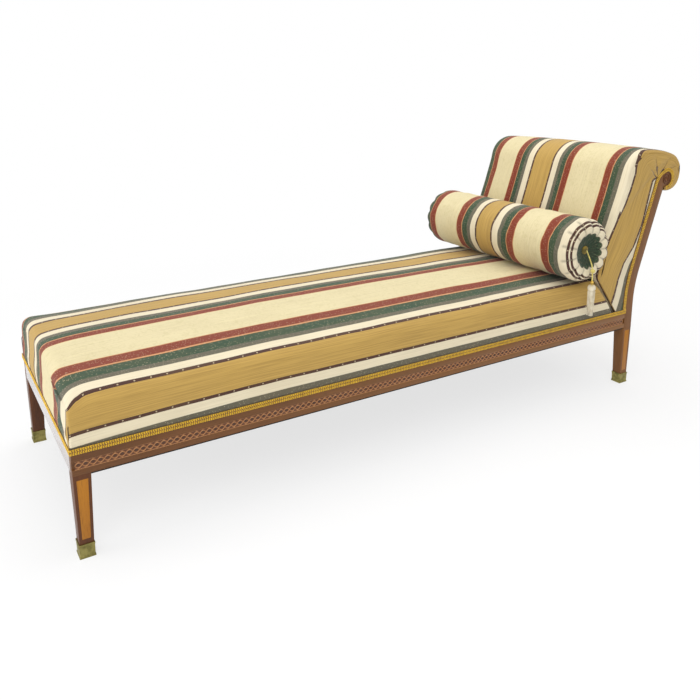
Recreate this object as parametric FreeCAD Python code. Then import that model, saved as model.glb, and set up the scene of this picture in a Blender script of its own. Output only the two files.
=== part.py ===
import FreeCAD, Part
import math
import os

# Recamier: a long upholstered seat on four tapered legs, with a scrolled head end,
# a loose round bolster and a tassel that hangs from the bolster's near end.
# Millimetres. +Z is up, +X runs from the foot end to the head end, and the near side
# faces -Y. The shapes are laid out from the foot corner of the frame and moved at the
# end, so that the origin lies under the middle of the whole piece at floor level.

# Frame
FRAME_LENGTH = 1858.0
FRAME_WIDTH = 665.0
RAIL_BOTTOM = 206.0
RAIL_HEIGHT = 52.0
RAIL_THICKNESS = 24.0
LEG_TOP = 40.0
LEG_FOOT = 31.0
LEG_OUTER_DRAW = 1.5
HEAD_LEG_REAR_DRAW = 3.0
POST_HEIGHT = 44.0
CROSS_RAIL_COUNT = 2
CROSS_RAIL_DROP = 18.0
BLOCK_REACH = 62.0
BLOCK_MARGIN = 5.0
HEAD_RAIL_SET_IN = 4.0
DOWEL_RADIUS = 5.0
DOWEL_LENGTH = 44.0
DOWEL_LOW_SHARE = 0.27
DOWEL_DEPTH_SHARE = 0.62
SCREW_RADIUS = 2.0
SCREW_LENGTH = 30.0
SCREW_HEAD_RADIUS = 3.8
SCREW_HEAD_HEIGHT = 2.4
SCREW_PLACE_SHARE = 0.28

# Brass sockets on the feet
SABOT_HEIGHT = 35.0
SABOT_FLOOR = 4.0
SABOT_WALL = 1.4
SABOT_LIP = 1.2
SABOT_LIP_HEIGHT = 5.0

# Carved band and leg inlay
BAND_HEIGHT = 19.0
BAND_BELOW_TOP = 18.0
BAND_DEPTH = 4.0
BAND_PITCH = 16.0
BAND_POCKET_RADIUS = 5.6
BAND_POCKET_DEPTH = 2.6
INLAY_DEPTH = 1.0
INLAY_MARGIN = 7.0
INLAY_END_MARGIN = 12.0

# Head stiles and their scrolls
STILE_WIDTH = 37.0
STILE_LEAN = 18.5
STILE_BEND_RISE = 32.0
STILE_BEND_RADIUS = 410.0
STILE_DEPTH = 40.0
SCROLL_RADIUS = 24.0
SCROLL_RISE = 452.0
SCROLL_BACK_STEP = 3.0
SCROLL_SWELL_OUT = 11.0
SCROLL_SWELL_UP = 8.0
SCROLL_NECK_DROP = 6.0
SCROLL_NECK_ANGLE = -95.0

# Upholstered seat
COVER = 2.0
SEAT_FLAT = 16.0
SEAT_SIDE_BULGE = 3.0
SEAT_SIDE_RISE = 92.0
SEAT_SHOULDER_RISE = 133.0
SEAT_SHOULDER_RUN = 32.0
SHOULDER_MID_RUN = 0.30
SHOULDER_MID_RISE = 0.66
SHOULDER_END_DROP = 0.9
SEAT_SKIRT = 20.0
SEAT_STUFFING_WALL = 58.0
SPRING_TOP_RISE = 72.0
HESSIAN = 2.0
SEAM_TOP_REACH = 150.0
SEAM_TOP_RISE = 148.0
SEAM_FOOT_REACH = 38.0
SEAM_GAP = 0.6
SEAT_END_ROUND = 26.0
SEAT_CORNER_ROUND = 5.0
SEAT_CROWN_FOOT_RISE = 142.0
SEAT_CROWN_RISE = 15.0
SEAT_CROWN_RUN = 260.0
SEAT_CROWN_FALL = 10.7
SEAT_ROUND_STEPS = 6
SEAT_STEP = 160.0
SEAT_STEP_POWER = 1.4
CAVITY_END_SHARE = 0.4

# Springs and webbing
SPRING_ROWS = 3
SPRING_RADIUS = 32.0
SPRING_WIRE = 3.6
SPRING_WIRE_SIDES = 16
SPRING_TURNS = 4.0
SPRING_PITCH = 185.0
SPRING_ROW_STEP = 170.0
STRAP_WIDTH = 50.0
STRAP_THICKNESS = 2.0
STRAP_END_MARGIN = 8.0
LONG_STRAP_COUNT = 4
LONG_STRAP_CLEAR = 4.0
DUST_COVER = 1.5
DUST_MARGIN = 5.0
DUST_LEG_CLEAR = 1.0

# Upholstered back and roll
BACK_LEAN = 19.2
BACK_FRONT_RADIUS = 100.0
BACK_TOP_ABOVE_ROLL = 79.0
ROLL_RADIUS = 61.0
ROLL_BEHIND_SCROLL = 16.7
ROLL_ABOVE_SCROLL = 21.0
ROLL_JOIN_ANGLE = 70.0
ROLL_MID_TURN = 80.0
ROLL_NECK_CLEAR = 3.0
BACK_WEB_STEP = 6.0
BACK_WEB_FOOT_CLEAR = 8.0
BACK_WEB_TOP_CLEAR = 5.0
BACK_INNER_REACH = 14.0
BACK_END_ROUND = 9.0
BACK_ROUND_STEPS = 4
BACK_CROWN_STEPS = 8
BACK_CROWN = 3.0
TOP_RAIL_RADIUS = 20.0
TOP_RAIL_TENON = 12.0
LOWER_RAIL_RISE = 42.0
LOWER_RAIL_HEIGHT = 45.0
LOWER_RAIL_THICKNESS = 20.0
BACK_STRAP_COUNT = 5
PANEL_THICKNESS = 3.0
PANEL_SET_IN = 3.0
PANEL_TOP_CLEAR = 6.0

# Gimp braid
GIMP_WIDTH = 14.0
GIMP_THICKNESS = 2.5
SCROLL_GIMP_WIDTH = 10.0

# Bolster
BOLSTER_RADIUS = 103.0
BOLSTER_LENGTH = 732.0
BOLSTER_SHIFT = 6.0
BOLSTER_CLEAR = 0.4
BOLSTER_BACK_CLEAR = 3.0
BOLSTER_EDGE = 34.0
EDGE_MID_RISE = 0.76
EDGE_MID_IN = 0.30
FOLD_MID_SHARE = 0.28
FUNNEL_MID_SHARE = 0.55
BOLSTER_CREST_RADIUS = 72.0
BOLSTER_MOUTH_RADIUS = 55.0
MOUTH_DEPTH = 9.0
FOLD_DEPTH = 2.6
FUNNEL_BELLY = 4.5
FUNNEL_DEPTH = 26.0
BUTTON_RADIUS = 14.0
BUTTON_HEIGHT = 7.0
BUTTON_CLEAR = 0.5
BUTTON_RIM_SHARE = 0.45
CORD_CLEAR = 2.1

# Tassel
CORD_DIAMETER = 4.0
TASSEL_OUT = 13.0
CORD_EXIT_DROP = 27.0
CORD_EXIT_OUT = 17.5
CORD_HANG_DROP = 54.0
KNOT_DROP = 61.0
KNOT_RADIUS = 8.0
BEAD_DROP = 98.0
BEAD_RADIUS = 6.5
HEAD_TOP_DROP = 108.0
HEAD_HEIGHT = 18.0
HEAD_RADIUS = 12.0
HEAD_EDGE = 5.0
HEAD_TOP_SHARE = 0.55
SKIRT_LENGTH = 82.0
SKIRT_TOP_RADIUS = 11.5
SKIRT_FOOT_RADIUS = 15.5
SKIRT_NECK_IN = 1.5
SKIRT_SWELL = 1.0
SKIRT_SWELL_DROP = 8.0
CORD_BEND_TRIM = 0.45

V = FreeCAD.Vector
MID_Y = FRAME_WIDTH / 2.0
REACH = 2.0 * FRAME_LENGTH

# Places that follow from the sizes above
RAIL_TOP = RAIL_BOTTOM + RAIL_HEIGHT
STILE_FRONT = FRAME_LENGTH - STILE_WIDTH
STILE_BEND_START = RAIL_TOP + STILE_BEND_RISE
SCROLL_HEIGHT = RAIL_TOP + SCROLL_RISE
SEAT_SIDE_TOP = RAIL_TOP + SEAT_SIDE_RISE
SEAT_SHOULDER = RAIL_TOP + SEAT_SHOULDER_RISE
SEAT_CROWN_FOOT = RAIL_TOP + SEAT_CROWN_FOOT_RISE
SPRING_TOP = RAIL_TOP + SPRING_TOP_RISE
SEAM_TOP_X = STILE_FRONT - SEAM_TOP_REACH
SEAM_TOP_Z = RAIL_TOP + SEAM_TOP_RISE
SEAM_FOOT_X = STILE_FRONT - SEAM_FOOT_REACH
ROLL_Z = SCROLL_HEIGHT + ROLL_ABOVE_SCROLL
BACK_TOP = ROLL_Z + BACK_TOP_ABOVE_ROLL
LOWER_RAIL_BOTTOM = RAIL_TOP + LOWER_RAIL_RISE


def box(x0, y0, z0, x1, y1, z1):
    return Part.makeBox(x1 - x0, y1 - y0, z1 - z0, V(x0, y0, z0))


def prism(points, direction):
    wire = Part.makePolygon([V(*p) for p in points] + [V(*points[0])])
    return Part.Face(wire).extrude(V(*direction))


def line(a, b):
    return Part.LineSegment(V(*a), V(*b)).toShape()


def arc(a, b, c):
    return Part.Arc(V(*a), V(*b), V(*c)).toShape()


def circle_point(cx, cz, radius, degrees):
    angle = math.radians(degrees)
    return cx + radius * math.cos(angle), cz + radius * math.sin(angle)


def tapered(x0, y0, x1, y1, z_low, z_high, low):
    """Four-sided post between a lower and an upper rectangle."""
    lx0, ly0, lx1, ly1 = low
    lower = [(lx0, ly0, z_low), (lx1, ly0, z_low), (lx1, ly1, z_low), (lx0, ly1, z_low)]
    upper = [(x0, y0, z_high), (x1, y0, z_high), (x1, y1, z_high), (x0, y1, z_high)]
    wires = [Part.makePolygon([V(*p) for p in ring + ring[:1]]) for ring in (lower, upper)]
    return Part.makeLoft(wires, True, True)


def mirror_y(shape):
    """The same shape on the far side of the frame's middle plane."""
    return shape.mirror(V(0, MID_Y, 0), V(0, 1, 0))


def group(shapes):
    return Part.makeCompound(shapes)


def single(shape):
    """The largest solid of a boolean result."""
    solids = sorted(shape.Solids, key=lambda s: s.Volume)
    return solids[-1]


# Stile outline, measured from its front edge

def stile_front(offset):
    """Points of the curve that lies the given distance behind the stile's front edge.

    Returns the bend's start, middle and end points and the direction of the straight
    part above the bend.
    """
    radius = STILE_BEND_RADIUS - offset
    centre_x = STILE_FRONT + STILE_BEND_RADIUS
    points = []
    for part in (0.0, 0.5, 1.0):
        angle = math.radians(STILE_LEAN * part)
        points.append((centre_x - radius * math.cos(angle), STILE_BEND_START + radius * math.sin(angle)))
    lean = math.radians(STILE_LEAN)
    return points, (math.sin(lean), math.cos(lean))


def up_to(points, direction, height):
    """The point of the straight part at the given height."""
    x, z = points[2]
    run = (height - z) / direction[1]
    return x + direction[0] * run, height


def stile_band(y0, y1, near_offset, far_offset, z_low, z_high):
    """A thin or thick band that follows the stile between two heights."""
    front, direction = stile_front(near_offset)
    rear, _ = stile_front(far_offset)
    front_top = up_to(front, direction, z_high)
    rear_top = (front_top[0] + (far_offset - near_offset) * direction[1],
                front_top[1] - (far_offset - near_offset) * direction[0])

    def at(point):
        return point[0], y0, point[1]

    edges = [
        line((rear[0][0], y0, z_low), (front[0][0], y0, z_low)),
        line((front[0][0], y0, z_low), at(front[0])),
        arc(at(front[0]), at(front[1]), at(front[2])),
        line(at(front[2]), at(front_top)),
        line(at(front_top), at(rear_top)),
        line(at(rear_top), at(rear[2])),
        arc(at(rear[2]), at(rear[1]), at(rear[0])),
        line(at(rear[0]), (rear[0][0], y0, z_low)),
    ]
    return Part.Face(Part.Wire(edges)).extrude(V(0, y1 - y0, 0))


rear_edge, straight_part = stile_front(STILE_WIDTH)
SCROLL_X = up_to(rear_edge, straight_part, SCROLL_HEIGHT)[0] + SCROLL_BACK_STEP
ROLL_X = SCROLL_X + ROLL_BEHIND_SCROLL


def stile_outline(y0, y1, front_grow, scroll_grow, z_low):
    """The stile's curve and scroll, with its front edge and its scroll grown."""
    front, direction = stile_front(-front_grow)
    rear, _ = stile_front(STILE_WIDTH)
    radius = SCROLL_RADIUS + scroll_grow
    shoulder = up_to(front, direction, SCROLL_HEIGHT - SCROLL_RADIUS)
    rear_top = up_to(rear, direction, SCROLL_HEIGHT - SCROLL_RADIUS - SCROLL_NECK_DROP)
    disc_top = circle_point(SCROLL_X, SCROLL_HEIGHT, radius, 90)
    disc_side = circle_point(SCROLL_X, SCROLL_HEIGHT, radius, 0)
    disc_foot = circle_point(SCROLL_X, SCROLL_HEIGHT, radius, SCROLL_NECK_ANGLE)
    swell = (0.5 * (shoulder[0] + disc_top[0]) - SCROLL_SWELL_OUT,
             0.5 * (shoulder[1] + disc_top[1]) + SCROLL_SWELL_UP)

    def at(point):
        return point[0], y0, point[1]

    low_front = (front[0][0], y0, z_low)
    low_rear = (FRAME_LENGTH, y0, z_low)
    edges = [
        line(low_rear, low_front),
        line(low_front, at(front[0])),
        arc(at(front[0]), at(front[1]), at(front[2])),
        line(at(front[2]), at(shoulder)),
        arc(at(shoulder), at(swell), at(disc_top)),
        arc(at(disc_top), at(disc_side), at(disc_foot)),
        line(at(disc_foot), at(rear_top)),
        line(at(rear_top), at(rear[2])),
        arc(at(rear[2]), at(rear[1]), at(rear[0])),
        line(at(rear[0]), low_rear),
    ]
    return Part.Face(Part.Wire(edges)).extrude(V(0, y1 - y0, 0))


def head_stile():
    """Tapered leg, curved stile and scroll in one board on the near side."""
    upper = stile_outline(0.0, STILE_DEPTH, 0.0, 0.0, RAIL_BOTTOM)
    leg = tapered(STILE_FRONT, 0.0, FRAME_LENGTH, STILE_DEPTH, SABOT_FLOOR, RAIL_BOTTOM,
                  leg_foot(STILE_FRONT, FRAME_LENGTH, False))
    return upper.fuse(leg).removeSplitter()


def leg_foot(x0, x1, outer_is_low):
    """Foot rectangle of a near-side leg; the outer faces stay nearly plumb."""
    if outer_is_low:
        fx0 = x0 + LEG_OUTER_DRAW
        fx1 = fx0 + LEG_FOOT
    else:
        fx1 = x1 - HEAD_LEG_REAR_DRAW
        fx0 = fx1 - LEG_FOOT
    return fx0, LEG_OUTER_DRAW, fx1, LEG_OUTER_DRAW + LEG_FOOT


def foot_leg():
    """Tapered leg with a post that rises behind both rails."""
    leg = tapered(0.0, 0.0, LEG_TOP, LEG_TOP, SABOT_FLOOR, RAIL_BOTTOM, leg_foot(0.0, LEG_TOP, True))
    post = box(RAIL_THICKNESS, RAIL_THICKNESS, RAIL_BOTTOM, LEG_TOP, LEG_TOP, RAIL_BOTTOM + POST_HEIGHT)
    return leg.fuse(post).removeSplitter()


def sabot(leg, centre_x):
    """Brass socket: a slightly flared box with a lip at the top and at the sole."""
    foot = LEG_OUTER_DRAW + LEG_FOOT / 2.0
    half = LEG_FOOT / 2.0 + SABOT_WALL
    grow = (LEG_TOP - LEG_FOOT) / 2.0 * SABOT_HEIGHT / (RAIL_BOTTOM - SABOT_FLOOR)

    def layer(z0, z1, extra):
        h = half + extra
        low = (centre_x - h, foot - h, centre_x + h, foot + h)
        high = h + grow * (z1 - z0) / SABOT_HEIGHT
        return tapered(centre_x - high, foot - high, centre_x + high, foot + high, z0, z1, low)

    body = layer(0.0, SABOT_HEIGHT, 0.0)
    sole = layer(0.0, SABOT_LIP_HEIGHT, SABOT_LIP)
    lip = layer(SABOT_HEIGHT - SABOT_LIP_HEIGHT, SABOT_HEIGHT, SABOT_LIP)
    return single(body.fuse([sole, lip]).cut(leg))


def leg_inlay(leg, x0, x1, foot):
    """Thin veneer panel let into the leg's outer long face."""
    fx0, fy0, fx1, _ = foot
    span = RAIL_BOTTOM - SABOT_FLOOR

    def edge(z):
        part = (z - SABOT_FLOOR) / span
        left = fx0 + (x0 - fx0) * part + INLAY_MARGIN
        right = fx1 + (x1 - fx1) * part - INLAY_MARGIN
        front = fy0 * (1.0 - part)
        return left, right, front

    z0 = SABOT_HEIGHT + INLAY_END_MARGIN
    z1 = RAIL_BOTTOM - INLAY_END_MARGIN
    l0, r0, f0 = edge(z0)
    l1, r1, f1 = edge(z1)
    rings = []
    for out in (0.0, INLAY_DEPTH):
        rings.append([(l0, f0 + out, z0), (r0, f0 + out, z0), (r1, f1 + out, z1), (l1, f1 + out, z1)])
    wires = [Part.makePolygon([V(*p) for p in ring + ring[:1]]) for ring in rings]
    return Part.makeLoft(wires, True, True)


# Rails

def carved_band(x0, x1):
    """Strip let into the side rail, with a row of round pockets."""
    z1 = RAIL_TOP - BAND_BELOW_TOP
    z0 = z1 - BAND_HEIGHT
    strip = box(x0, 0.0, z0, x1, BAND_DEPTH, z1)
    count = int((x1 - x0) / BAND_PITCH) - 1
    first = 0.5 * (x0 + x1) - 0.5 * (count - 1) * BAND_PITCH
    middle = 0.5 * (z0 + z1)
    pockets = [Part.makeCylinder(BAND_POCKET_RADIUS, BAND_POCKET_DEPTH + 1.0,
                                 V(first + i * BAND_PITCH, -1.0, middle), V(0, 1, 0))
               for i in range(count)]
    return single(strip.cut(pockets)), box(x0, -1.0, z0, x1, BAND_DEPTH, z1)


def dowels_at(x, near_y, heights):
    return [Part.makeCylinder(DOWEL_RADIUS, DOWEL_LENGTH, V(x - DOWEL_LENGTH / 2.0, near_y, z), V(1, 0, 0))
            for z in heights]


def corner_screw(x, y, direction, z):
    """Countersunk screw through a corner block into a rail."""
    d = V(*direction)
    shank = Part.makeCylinder(SCREW_RADIUS, SCREW_LENGTH, V(x, y, z), d)
    head = Part.makeCone(SCREW_HEAD_RADIUS, SCREW_RADIUS, SCREW_HEAD_HEIGHT, V(x, y, z), d)
    return shank.fuse(head).removeSplitter()


# Seat

def seat_wire(x, inset, drop, crown, skin, bottom):
    """One cross-section of the seat: plumb foot, bulged side, soft shoulder, crowned top."""
    y0 = inset + skin
    y1 = FRAME_WIDTH - y0
    flat = RAIL_TOP + SEAT_FLAT
    side = SEAT_SIDE_TOP - drop - skin
    shoulder = SEAT_SHOULDER - drop * SHOULDER_END_DROP - skin
    run = SEAT_SHOULDER_RUN
    top = crown - skin
    side_mid = 0.5 * (flat + side)
    bend = run * SHOULDER_MID_RUN
    bend_z = side + (shoulder - side) * SHOULDER_MID_RISE

    def p(y, z):
        return x, y, z

    edges = [
        line(p(y1, bottom), p(y0, bottom)),
        line(p(y0, bottom), p(y0, flat)),
        arc(p(y0, flat), p(y0 - SEAT_SIDE_BULGE, side_mid), p(y0, side)),
        arc(p(y0, side), p(y0 + bend, bend_z), p(y0 + run, shoulder)),
        arc(p(y0 + run, shoulder), p(MID_Y, top), p(y1 - run, shoulder)),
        arc(p(y1 - run, shoulder), p(y1 - bend, bend_z), p(y1, side)),
        arc(p(y1, side), p(y1 + SEAT_SIDE_BULGE, side_mid), p(y1, flat)),
        line(p(y1, flat), p(y1, bottom)),
    ]
    return Part.Wire(edges)


def seat_stations():
    """Place along the seat, side inset, drop of the top edge and height of the crown."""
    stations = []
    for step in range(SEAT_ROUND_STEPS + 1):
        angle = math.radians(90.0 * step / SEAT_ROUND_STEPS)
        x = SEAT_END_ROUND * (1.0 - math.cos(angle))
        drop = SEAT_END_ROUND * (1.0 - math.sin(angle))
        short = max(0.0, SEAT_CORNER_ROUND - x)
        inset = SEAT_CORNER_ROUND - math.sqrt(SEAT_CORNER_ROUND ** 2 - short ** 2)
        stations.append((x, inset, drop, SEAT_CROWN_FOOT - drop))
    count = int((FRAME_LENGTH - SEAT_END_ROUND) / SEAT_STEP)
    for step in range(1, count + 1):
        part = step / count
        x = SEAT_END_ROUND + (FRAME_LENGTH - SEAT_END_ROUND) * part ** SEAT_STEP_POWER
        rise = SEAT_CROWN_RISE * (1.0 - math.exp(-(x - SEAT_END_ROUND) / SEAT_CROWN_RUN))
        fall = SEAT_CROWN_FALL * max(0.0, 2.0 * x / FRAME_LENGTH - 1.0)
        stations.append((x, 0.0, 0.0, SEAT_CROWN_FOOT + rise - fall))
    return stations


def seat_form(skin, bottom):
    wires = []
    for x, inset, drop, crown in seat_stations():
        shift = skin * max(0.0, 1.0 - x / SEAT_END_ROUND)
        wires.append(seat_wire(x + shift, inset, drop, crown, skin, bottom))
    return Part.makeLoft(wires, True, True)


def seam_side(offset, keep_foot_side):
    """Large block on one side of the sloping seam between the seat and the back."""
    dx = SEAM_FOOT_X - SEAM_TOP_X
    dz = RAIL_TOP - SEAM_TOP_Z
    length = math.hypot(dx, dz)
    ux, uz = dx / length, dz / length
    nx, nz = -uz, ux
    mx = SEAM_TOP_X + nx * offset
    mz = SEAM_TOP_Z + nz * offset
    a = (mx - ux * REACH, -REACH / 2, mz - uz * REACH)
    b = (mx + ux * REACH, -REACH / 2, mz + uz * REACH)
    sign = -1.0 if keep_foot_side else 1.0
    c = (b[0] + sign * nx * REACH, -REACH / 2, b[2] + sign * nz * REACH)
    d = (a[0] + sign * nx * REACH, -REACH / 2, a[2] + sign * nz * REACH)
    return prism([a, b, c, d], (0, REACH, 0))


# Back

def back_wire(y, grow, rear_extra):
    """One lengthwise section of the back: leaning front, rounded top and roll."""
    lean = math.radians(BACK_LEAN)
    radius = BACK_FRONT_RADIUS + grow
    slope = math.tan(lean)
    nx, nz = -math.cos(lean), math.sin(lean)
    centre_z = BACK_TOP - BACK_FRONT_RADIUS
    base = SEAM_TOP_X
    # The front plane passes through the seam; the rounding is tangent to it.
    along = centre_z + BACK_FRONT_RADIUS * nz - SEAM_TOP_Z
    centre_x = base + slope * along - BACK_FRONT_RADIUS * nx
    t1 = (centre_x + radius * nx, centre_z + radius * nz)
    front_x = t1[0] - slope * (t1[1] - RAIL_TOP)
    t_mid = circle_point(centre_x, centre_z, radius, 135.0 - BACK_LEAN / 2.0)
    t2 = (centre_x, centre_z + radius)
    roll = ROLL_RADIUS + grow
    r1 = circle_point(ROLL_X, ROLL_Z, roll, ROLL_JOIN_ANGLE)
    r2 = circle_point(ROLL_X, ROLL_Z, roll, ROLL_JOIN_ANGLE - ROLL_MID_TURN)
    r3 = circle_point(ROLL_X, ROLL_Z, roll, -90)
    run = r1[0] - t2[0]
    drop = t2[1] - r1[1]
    bend = (run * run + drop * drop) / (2.0 * drop)
    top_mid = (t2[0] + run * 0.5, t2[1] - bend + math.sqrt(bend * bend - run * run * 0.25))
    rear, direction = stile_front(BACK_WEB_STEP + rear_extra)
    neck_low = up_to(stile_front(STILE_WIDTH)[0], direction, r3[1])
    neck_high = up_to(rear, direction, SCROLL_HEIGHT - TOP_RAIL_RADIUS)
    low = RAIL_TOP
    neck = (neck_low[0] - ROLL_NECK_CLEAR, y, r3[1])

    def p(point):
        return point[0], y, point[1]

    edges = [
        line((front_x, y, low), p(t1)),
        arc(p(t1), p(t_mid), p(t2)),
        arc(p(t2), p(top_mid), p(r1)),
        arc(p(r1), p(r2), p(r3)),
        line(p(r3), neck),
        line(neck, p(neck_high)),
        line(p(neck_high), p(rear[2])),
        arc(p(rear[2]), p(rear[1]), p(rear[0])),
        line(p(rear[0]), (rear[0][0], y, low)),
        line((rear[0][0], y, low), (front_x, y, low)),
    ]
    return Part.Wire(edges)


def back_stations():
    """Place across the back and how far its section grows or draws in there."""
    half = []
    for step in range(BACK_ROUND_STEPS + 1):
        angle = math.radians(90.0 * step / BACK_ROUND_STEPS)
        half.append((BACK_END_ROUND * (1.0 - math.cos(angle)), -BACK_END_ROUND * (1.0 - math.sin(angle))))
    for step in range(1, BACK_CROWN_STEPS // 2 + 1):
        part = 2.0 * step / BACK_CROWN_STEPS
        y = BACK_END_ROUND + (MID_Y - BACK_END_ROUND) * part
        half.append((y, BACK_CROWN * (1.0 - (1.0 - part) ** 2)))
    return half + [(FRAME_WIDTH - y, grow) for y, grow in reversed(half[:-1])]


def back_form(skin, rear_extra):
    wires = []
    for y, grow in back_stations():
        shift = skin * (1.0 - 2.0 * y / FRAME_WIDTH)
        wires.append(back_wire(y + shift, grow - skin, rear_extra))
    return Part.makeLoft(wires, True, True)


# Springs

def coil_spring():
    """Upright coil: one wire of many equal sides on an even helix."""
    wire_radius = SPRING_WIRE / 2.0
    height = SPRING_TOP - RAIL_BOTTOM - SPRING_WIRE
    pitch = height / SPRING_TURNS
    helix = Part.makeHelix(pitch, height, SPRING_RADIUS)
    outward = V(1, 0, 0)
    across = V(0, 2.0 * math.pi * SPRING_RADIUS, pitch).cross(outward)
    across.normalize()
    corners = []
    for side in range(SPRING_WIRE_SIDES + 1):
        angle = 2.0 * math.pi * side / SPRING_WIRE_SIDES
        corners.append(outward * (SPRING_RADIUS + wire_radius * math.cos(angle))
                       + across * (wire_radius * math.sin(angle)))
    spring = Part.Wire(helix).makePipeShell([Part.makePolygon(corners)], True, True)
    spring.translate(V(0, 0, wire_radius))
    gap = pitch * math.cos(math.atan(pitch / (2.0 * math.pi * SPRING_RADIUS))) - SPRING_WIRE
    return spring, gap


# Bolster

def bolster_profile(skin):
    """Half outline turned round the bolster's axis: puffed ends around a gathered funnel."""
    half = BOLSTER_LENGTH / 2.0
    radius = BOLSTER_RADIUS - skin
    crest = BOLSTER_CREST_RADIUS
    mouth = BOLSTER_MOUTH_RADIUS + skin
    bottom = half - FUNNEL_DEPTH
    outline = []
    for sign in (1.0, -1.0):
        def p(r, y, s=sign):
            return r, s * y, 0.0
        end = half - skin
        part = [
            arc(p(radius, half - BOLSTER_EDGE),
                p(crest + (radius - crest) * EDGE_MID_RISE, end - BOLSTER_EDGE * EDGE_MID_IN), p(crest, end)),
            arc(p(crest, end), p(mouth + (crest - mouth) * FOLD_MID_SHARE, end - FOLD_DEPTH),
                p(mouth, end - MOUTH_DEPTH)),
            arc(p(mouth, end - MOUTH_DEPTH), p(BUTTON_RADIUS + (mouth - BUTTON_RADIUS) * FUNNEL_MID_SHARE,
              bottom + FUNNEL_BELLY),
                p(BUTTON_RADIUS, bottom)),
            line(p(BUTTON_RADIUS, bottom), p(0.0, bottom)),
        ]
        outline.append(part)
    side = line((radius, half - BOLSTER_EDGE, 0), (radius, -(half - BOLSTER_EDGE), 0))
    axis = line((0, half - FUNNEL_DEPTH, 0), (0, -(half - FUNNEL_DEPTH), 0))
    edges = outline[0] + outline[1] + [side, axis]
    wire = Part.Wire(Part.__sortEdges__(edges))
    return Part.Face(wire).revolve(V(0, 0, 0), V(0, 1, 0), 360)


# Tassel cord

def cord_tube(points, diameter):
    """Round tube along straight runs joined by tangent arcs; returns it with its data."""
    pts = [V(*p) for p in points]
    edges = []
    radii = []
    start = pts[0]
    length = 0.0
    for i in range(1, len(pts) - 1):
        into = (pts[i] - pts[i - 1])
        away = (pts[i + 1] - pts[i])
        run = min(into.Length, away.Length)
        half_turn = into.getAngle(away) / 2.0
        trim = CORD_BEND_TRIM * run
        radii.append(trim / math.tan(half_turn))
        into.normalize()
        away.normalize()
        a = pts[i] - into * trim
        b = pts[i] + away * trim
        inward = (away - into)
        inward.normalize()
        centre = pts[i] + inward * (trim / math.sin(half_turn))
        middle = centre - inward * radii[-1]
        edges.append(Part.LineSegment(start, a).toShape())
        edges.append(Part.Arc(a, middle, b).toShape())
        length += (a - start).Length + radii[-1] * 2.0 * half_turn
        start = b
    edges.append(Part.LineSegment(start, pts[-1]).toShape())
    length += (pts[-1] - start).Length
    path = Part.Wire(edges)
    section = Part.Wire(Part.makeCircle(diameter / 2.0, pts[0], pts[1] - pts[0]))
    tube = path.makePipeShell([section], True, False)
    return tube, radii, length


nodes = {}

# Legs, stiles and sockets
near_leg = foot_leg()
near_stile = head_stile()
foot_rectangle = leg_foot(0.0, LEG_TOP, True)
head_rectangle = leg_foot(STILE_FRONT, FRAME_LENGTH, False)
foot_inlay = leg_inlay(near_leg, 0.0, LEG_TOP, foot_rectangle)
head_inlay = leg_inlay(near_stile, STILE_FRONT, FRAME_LENGTH, head_rectangle)
near_sabot_foot = sabot(near_leg, (foot_rectangle[0] + foot_rectangle[2]) / 2.0)
near_sabot_head = sabot(near_stile, (head_rectangle[0] + head_rectangle[2]) / 2.0)

# Rails
side_rail = box(0.0, 0.0, RAIL_BOTTOM, STILE_FRONT, RAIL_THICKNESS, RAIL_TOP)
band, band_groove = carved_band(0.0, STILE_FRONT)
dowel_heights = (RAIL_BOTTOM + RAIL_HEIGHT * DOWEL_LOW_SHARE, RAIL_TOP - RAIL_HEIGHT * DOWEL_LOW_SHARE)
side_dowels = dowels_at(STILE_FRONT, RAIL_THICKNESS * DOWEL_DEPTH_SHARE, dowel_heights)
head_rail_front = STILE_FRONT + HEAD_RAIL_SET_IN
head_rail_rear = head_rail_front + RAIL_THICKNESS
head_rail = box(head_rail_front, STILE_DEPTH, RAIL_BOTTOM,
                head_rail_rear, FRAME_WIDTH - STILE_DEPTH, RAIL_TOP)
head_dowel_x = (head_rail_front + head_rail_rear) / 2.0
head_dowel_y = STILE_DEPTH - DOWEL_LENGTH / 2.0
head_dowels = [Part.makeCylinder(DOWEL_RADIUS, DOWEL_LENGTH, V(head_dowel_x, head_dowel_y, z), V(0, 1, 0))
               for z in dowel_heights]
near_dowels = side_dowels + head_dowels

# Back rails that the stiles carry
top_rail = Part.makeCylinder(TOP_RAIL_RADIUS, FRAME_WIDTH - 2.0 * STILE_DEPTH,
                             V(SCROLL_X, STILE_DEPTH, SCROLL_HEIGHT), V(0, 1, 0))
top_tenon = Part.makeCylinder(TOP_RAIL_TENON, FRAME_WIDTH - 2.0 * STILE_DEPTH + 2.0 * TOP_RAIL_TENON,
                              V(SCROLL_X, STILE_DEPTH - TOP_RAIL_TENON, SCROLL_HEIGHT), V(0, 1, 0))
top_rail = top_rail.fuse(top_tenon).removeSplitter()
lower_rail_front = STILE_FRONT + BACK_WEB_STEP + STRAP_THICKNESS
lower_rail = box(lower_rail_front, STILE_DEPTH, LOWER_RAIL_BOTTOM,
                 lower_rail_front + LOWER_RAIL_THICKNESS, FRAME_WIDTH - STILE_DEPTH,
                 LOWER_RAIL_BOTTOM + LOWER_RAIL_HEIGHT)
lower_rail = lower_rail.cut(stile_band(0.0, FRAME_WIDTH, 0.0, BACK_WEB_STEP + STRAP_THICKNESS,
                                       RAIL_BOTTOM, SCROLL_HEIGHT))

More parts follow.
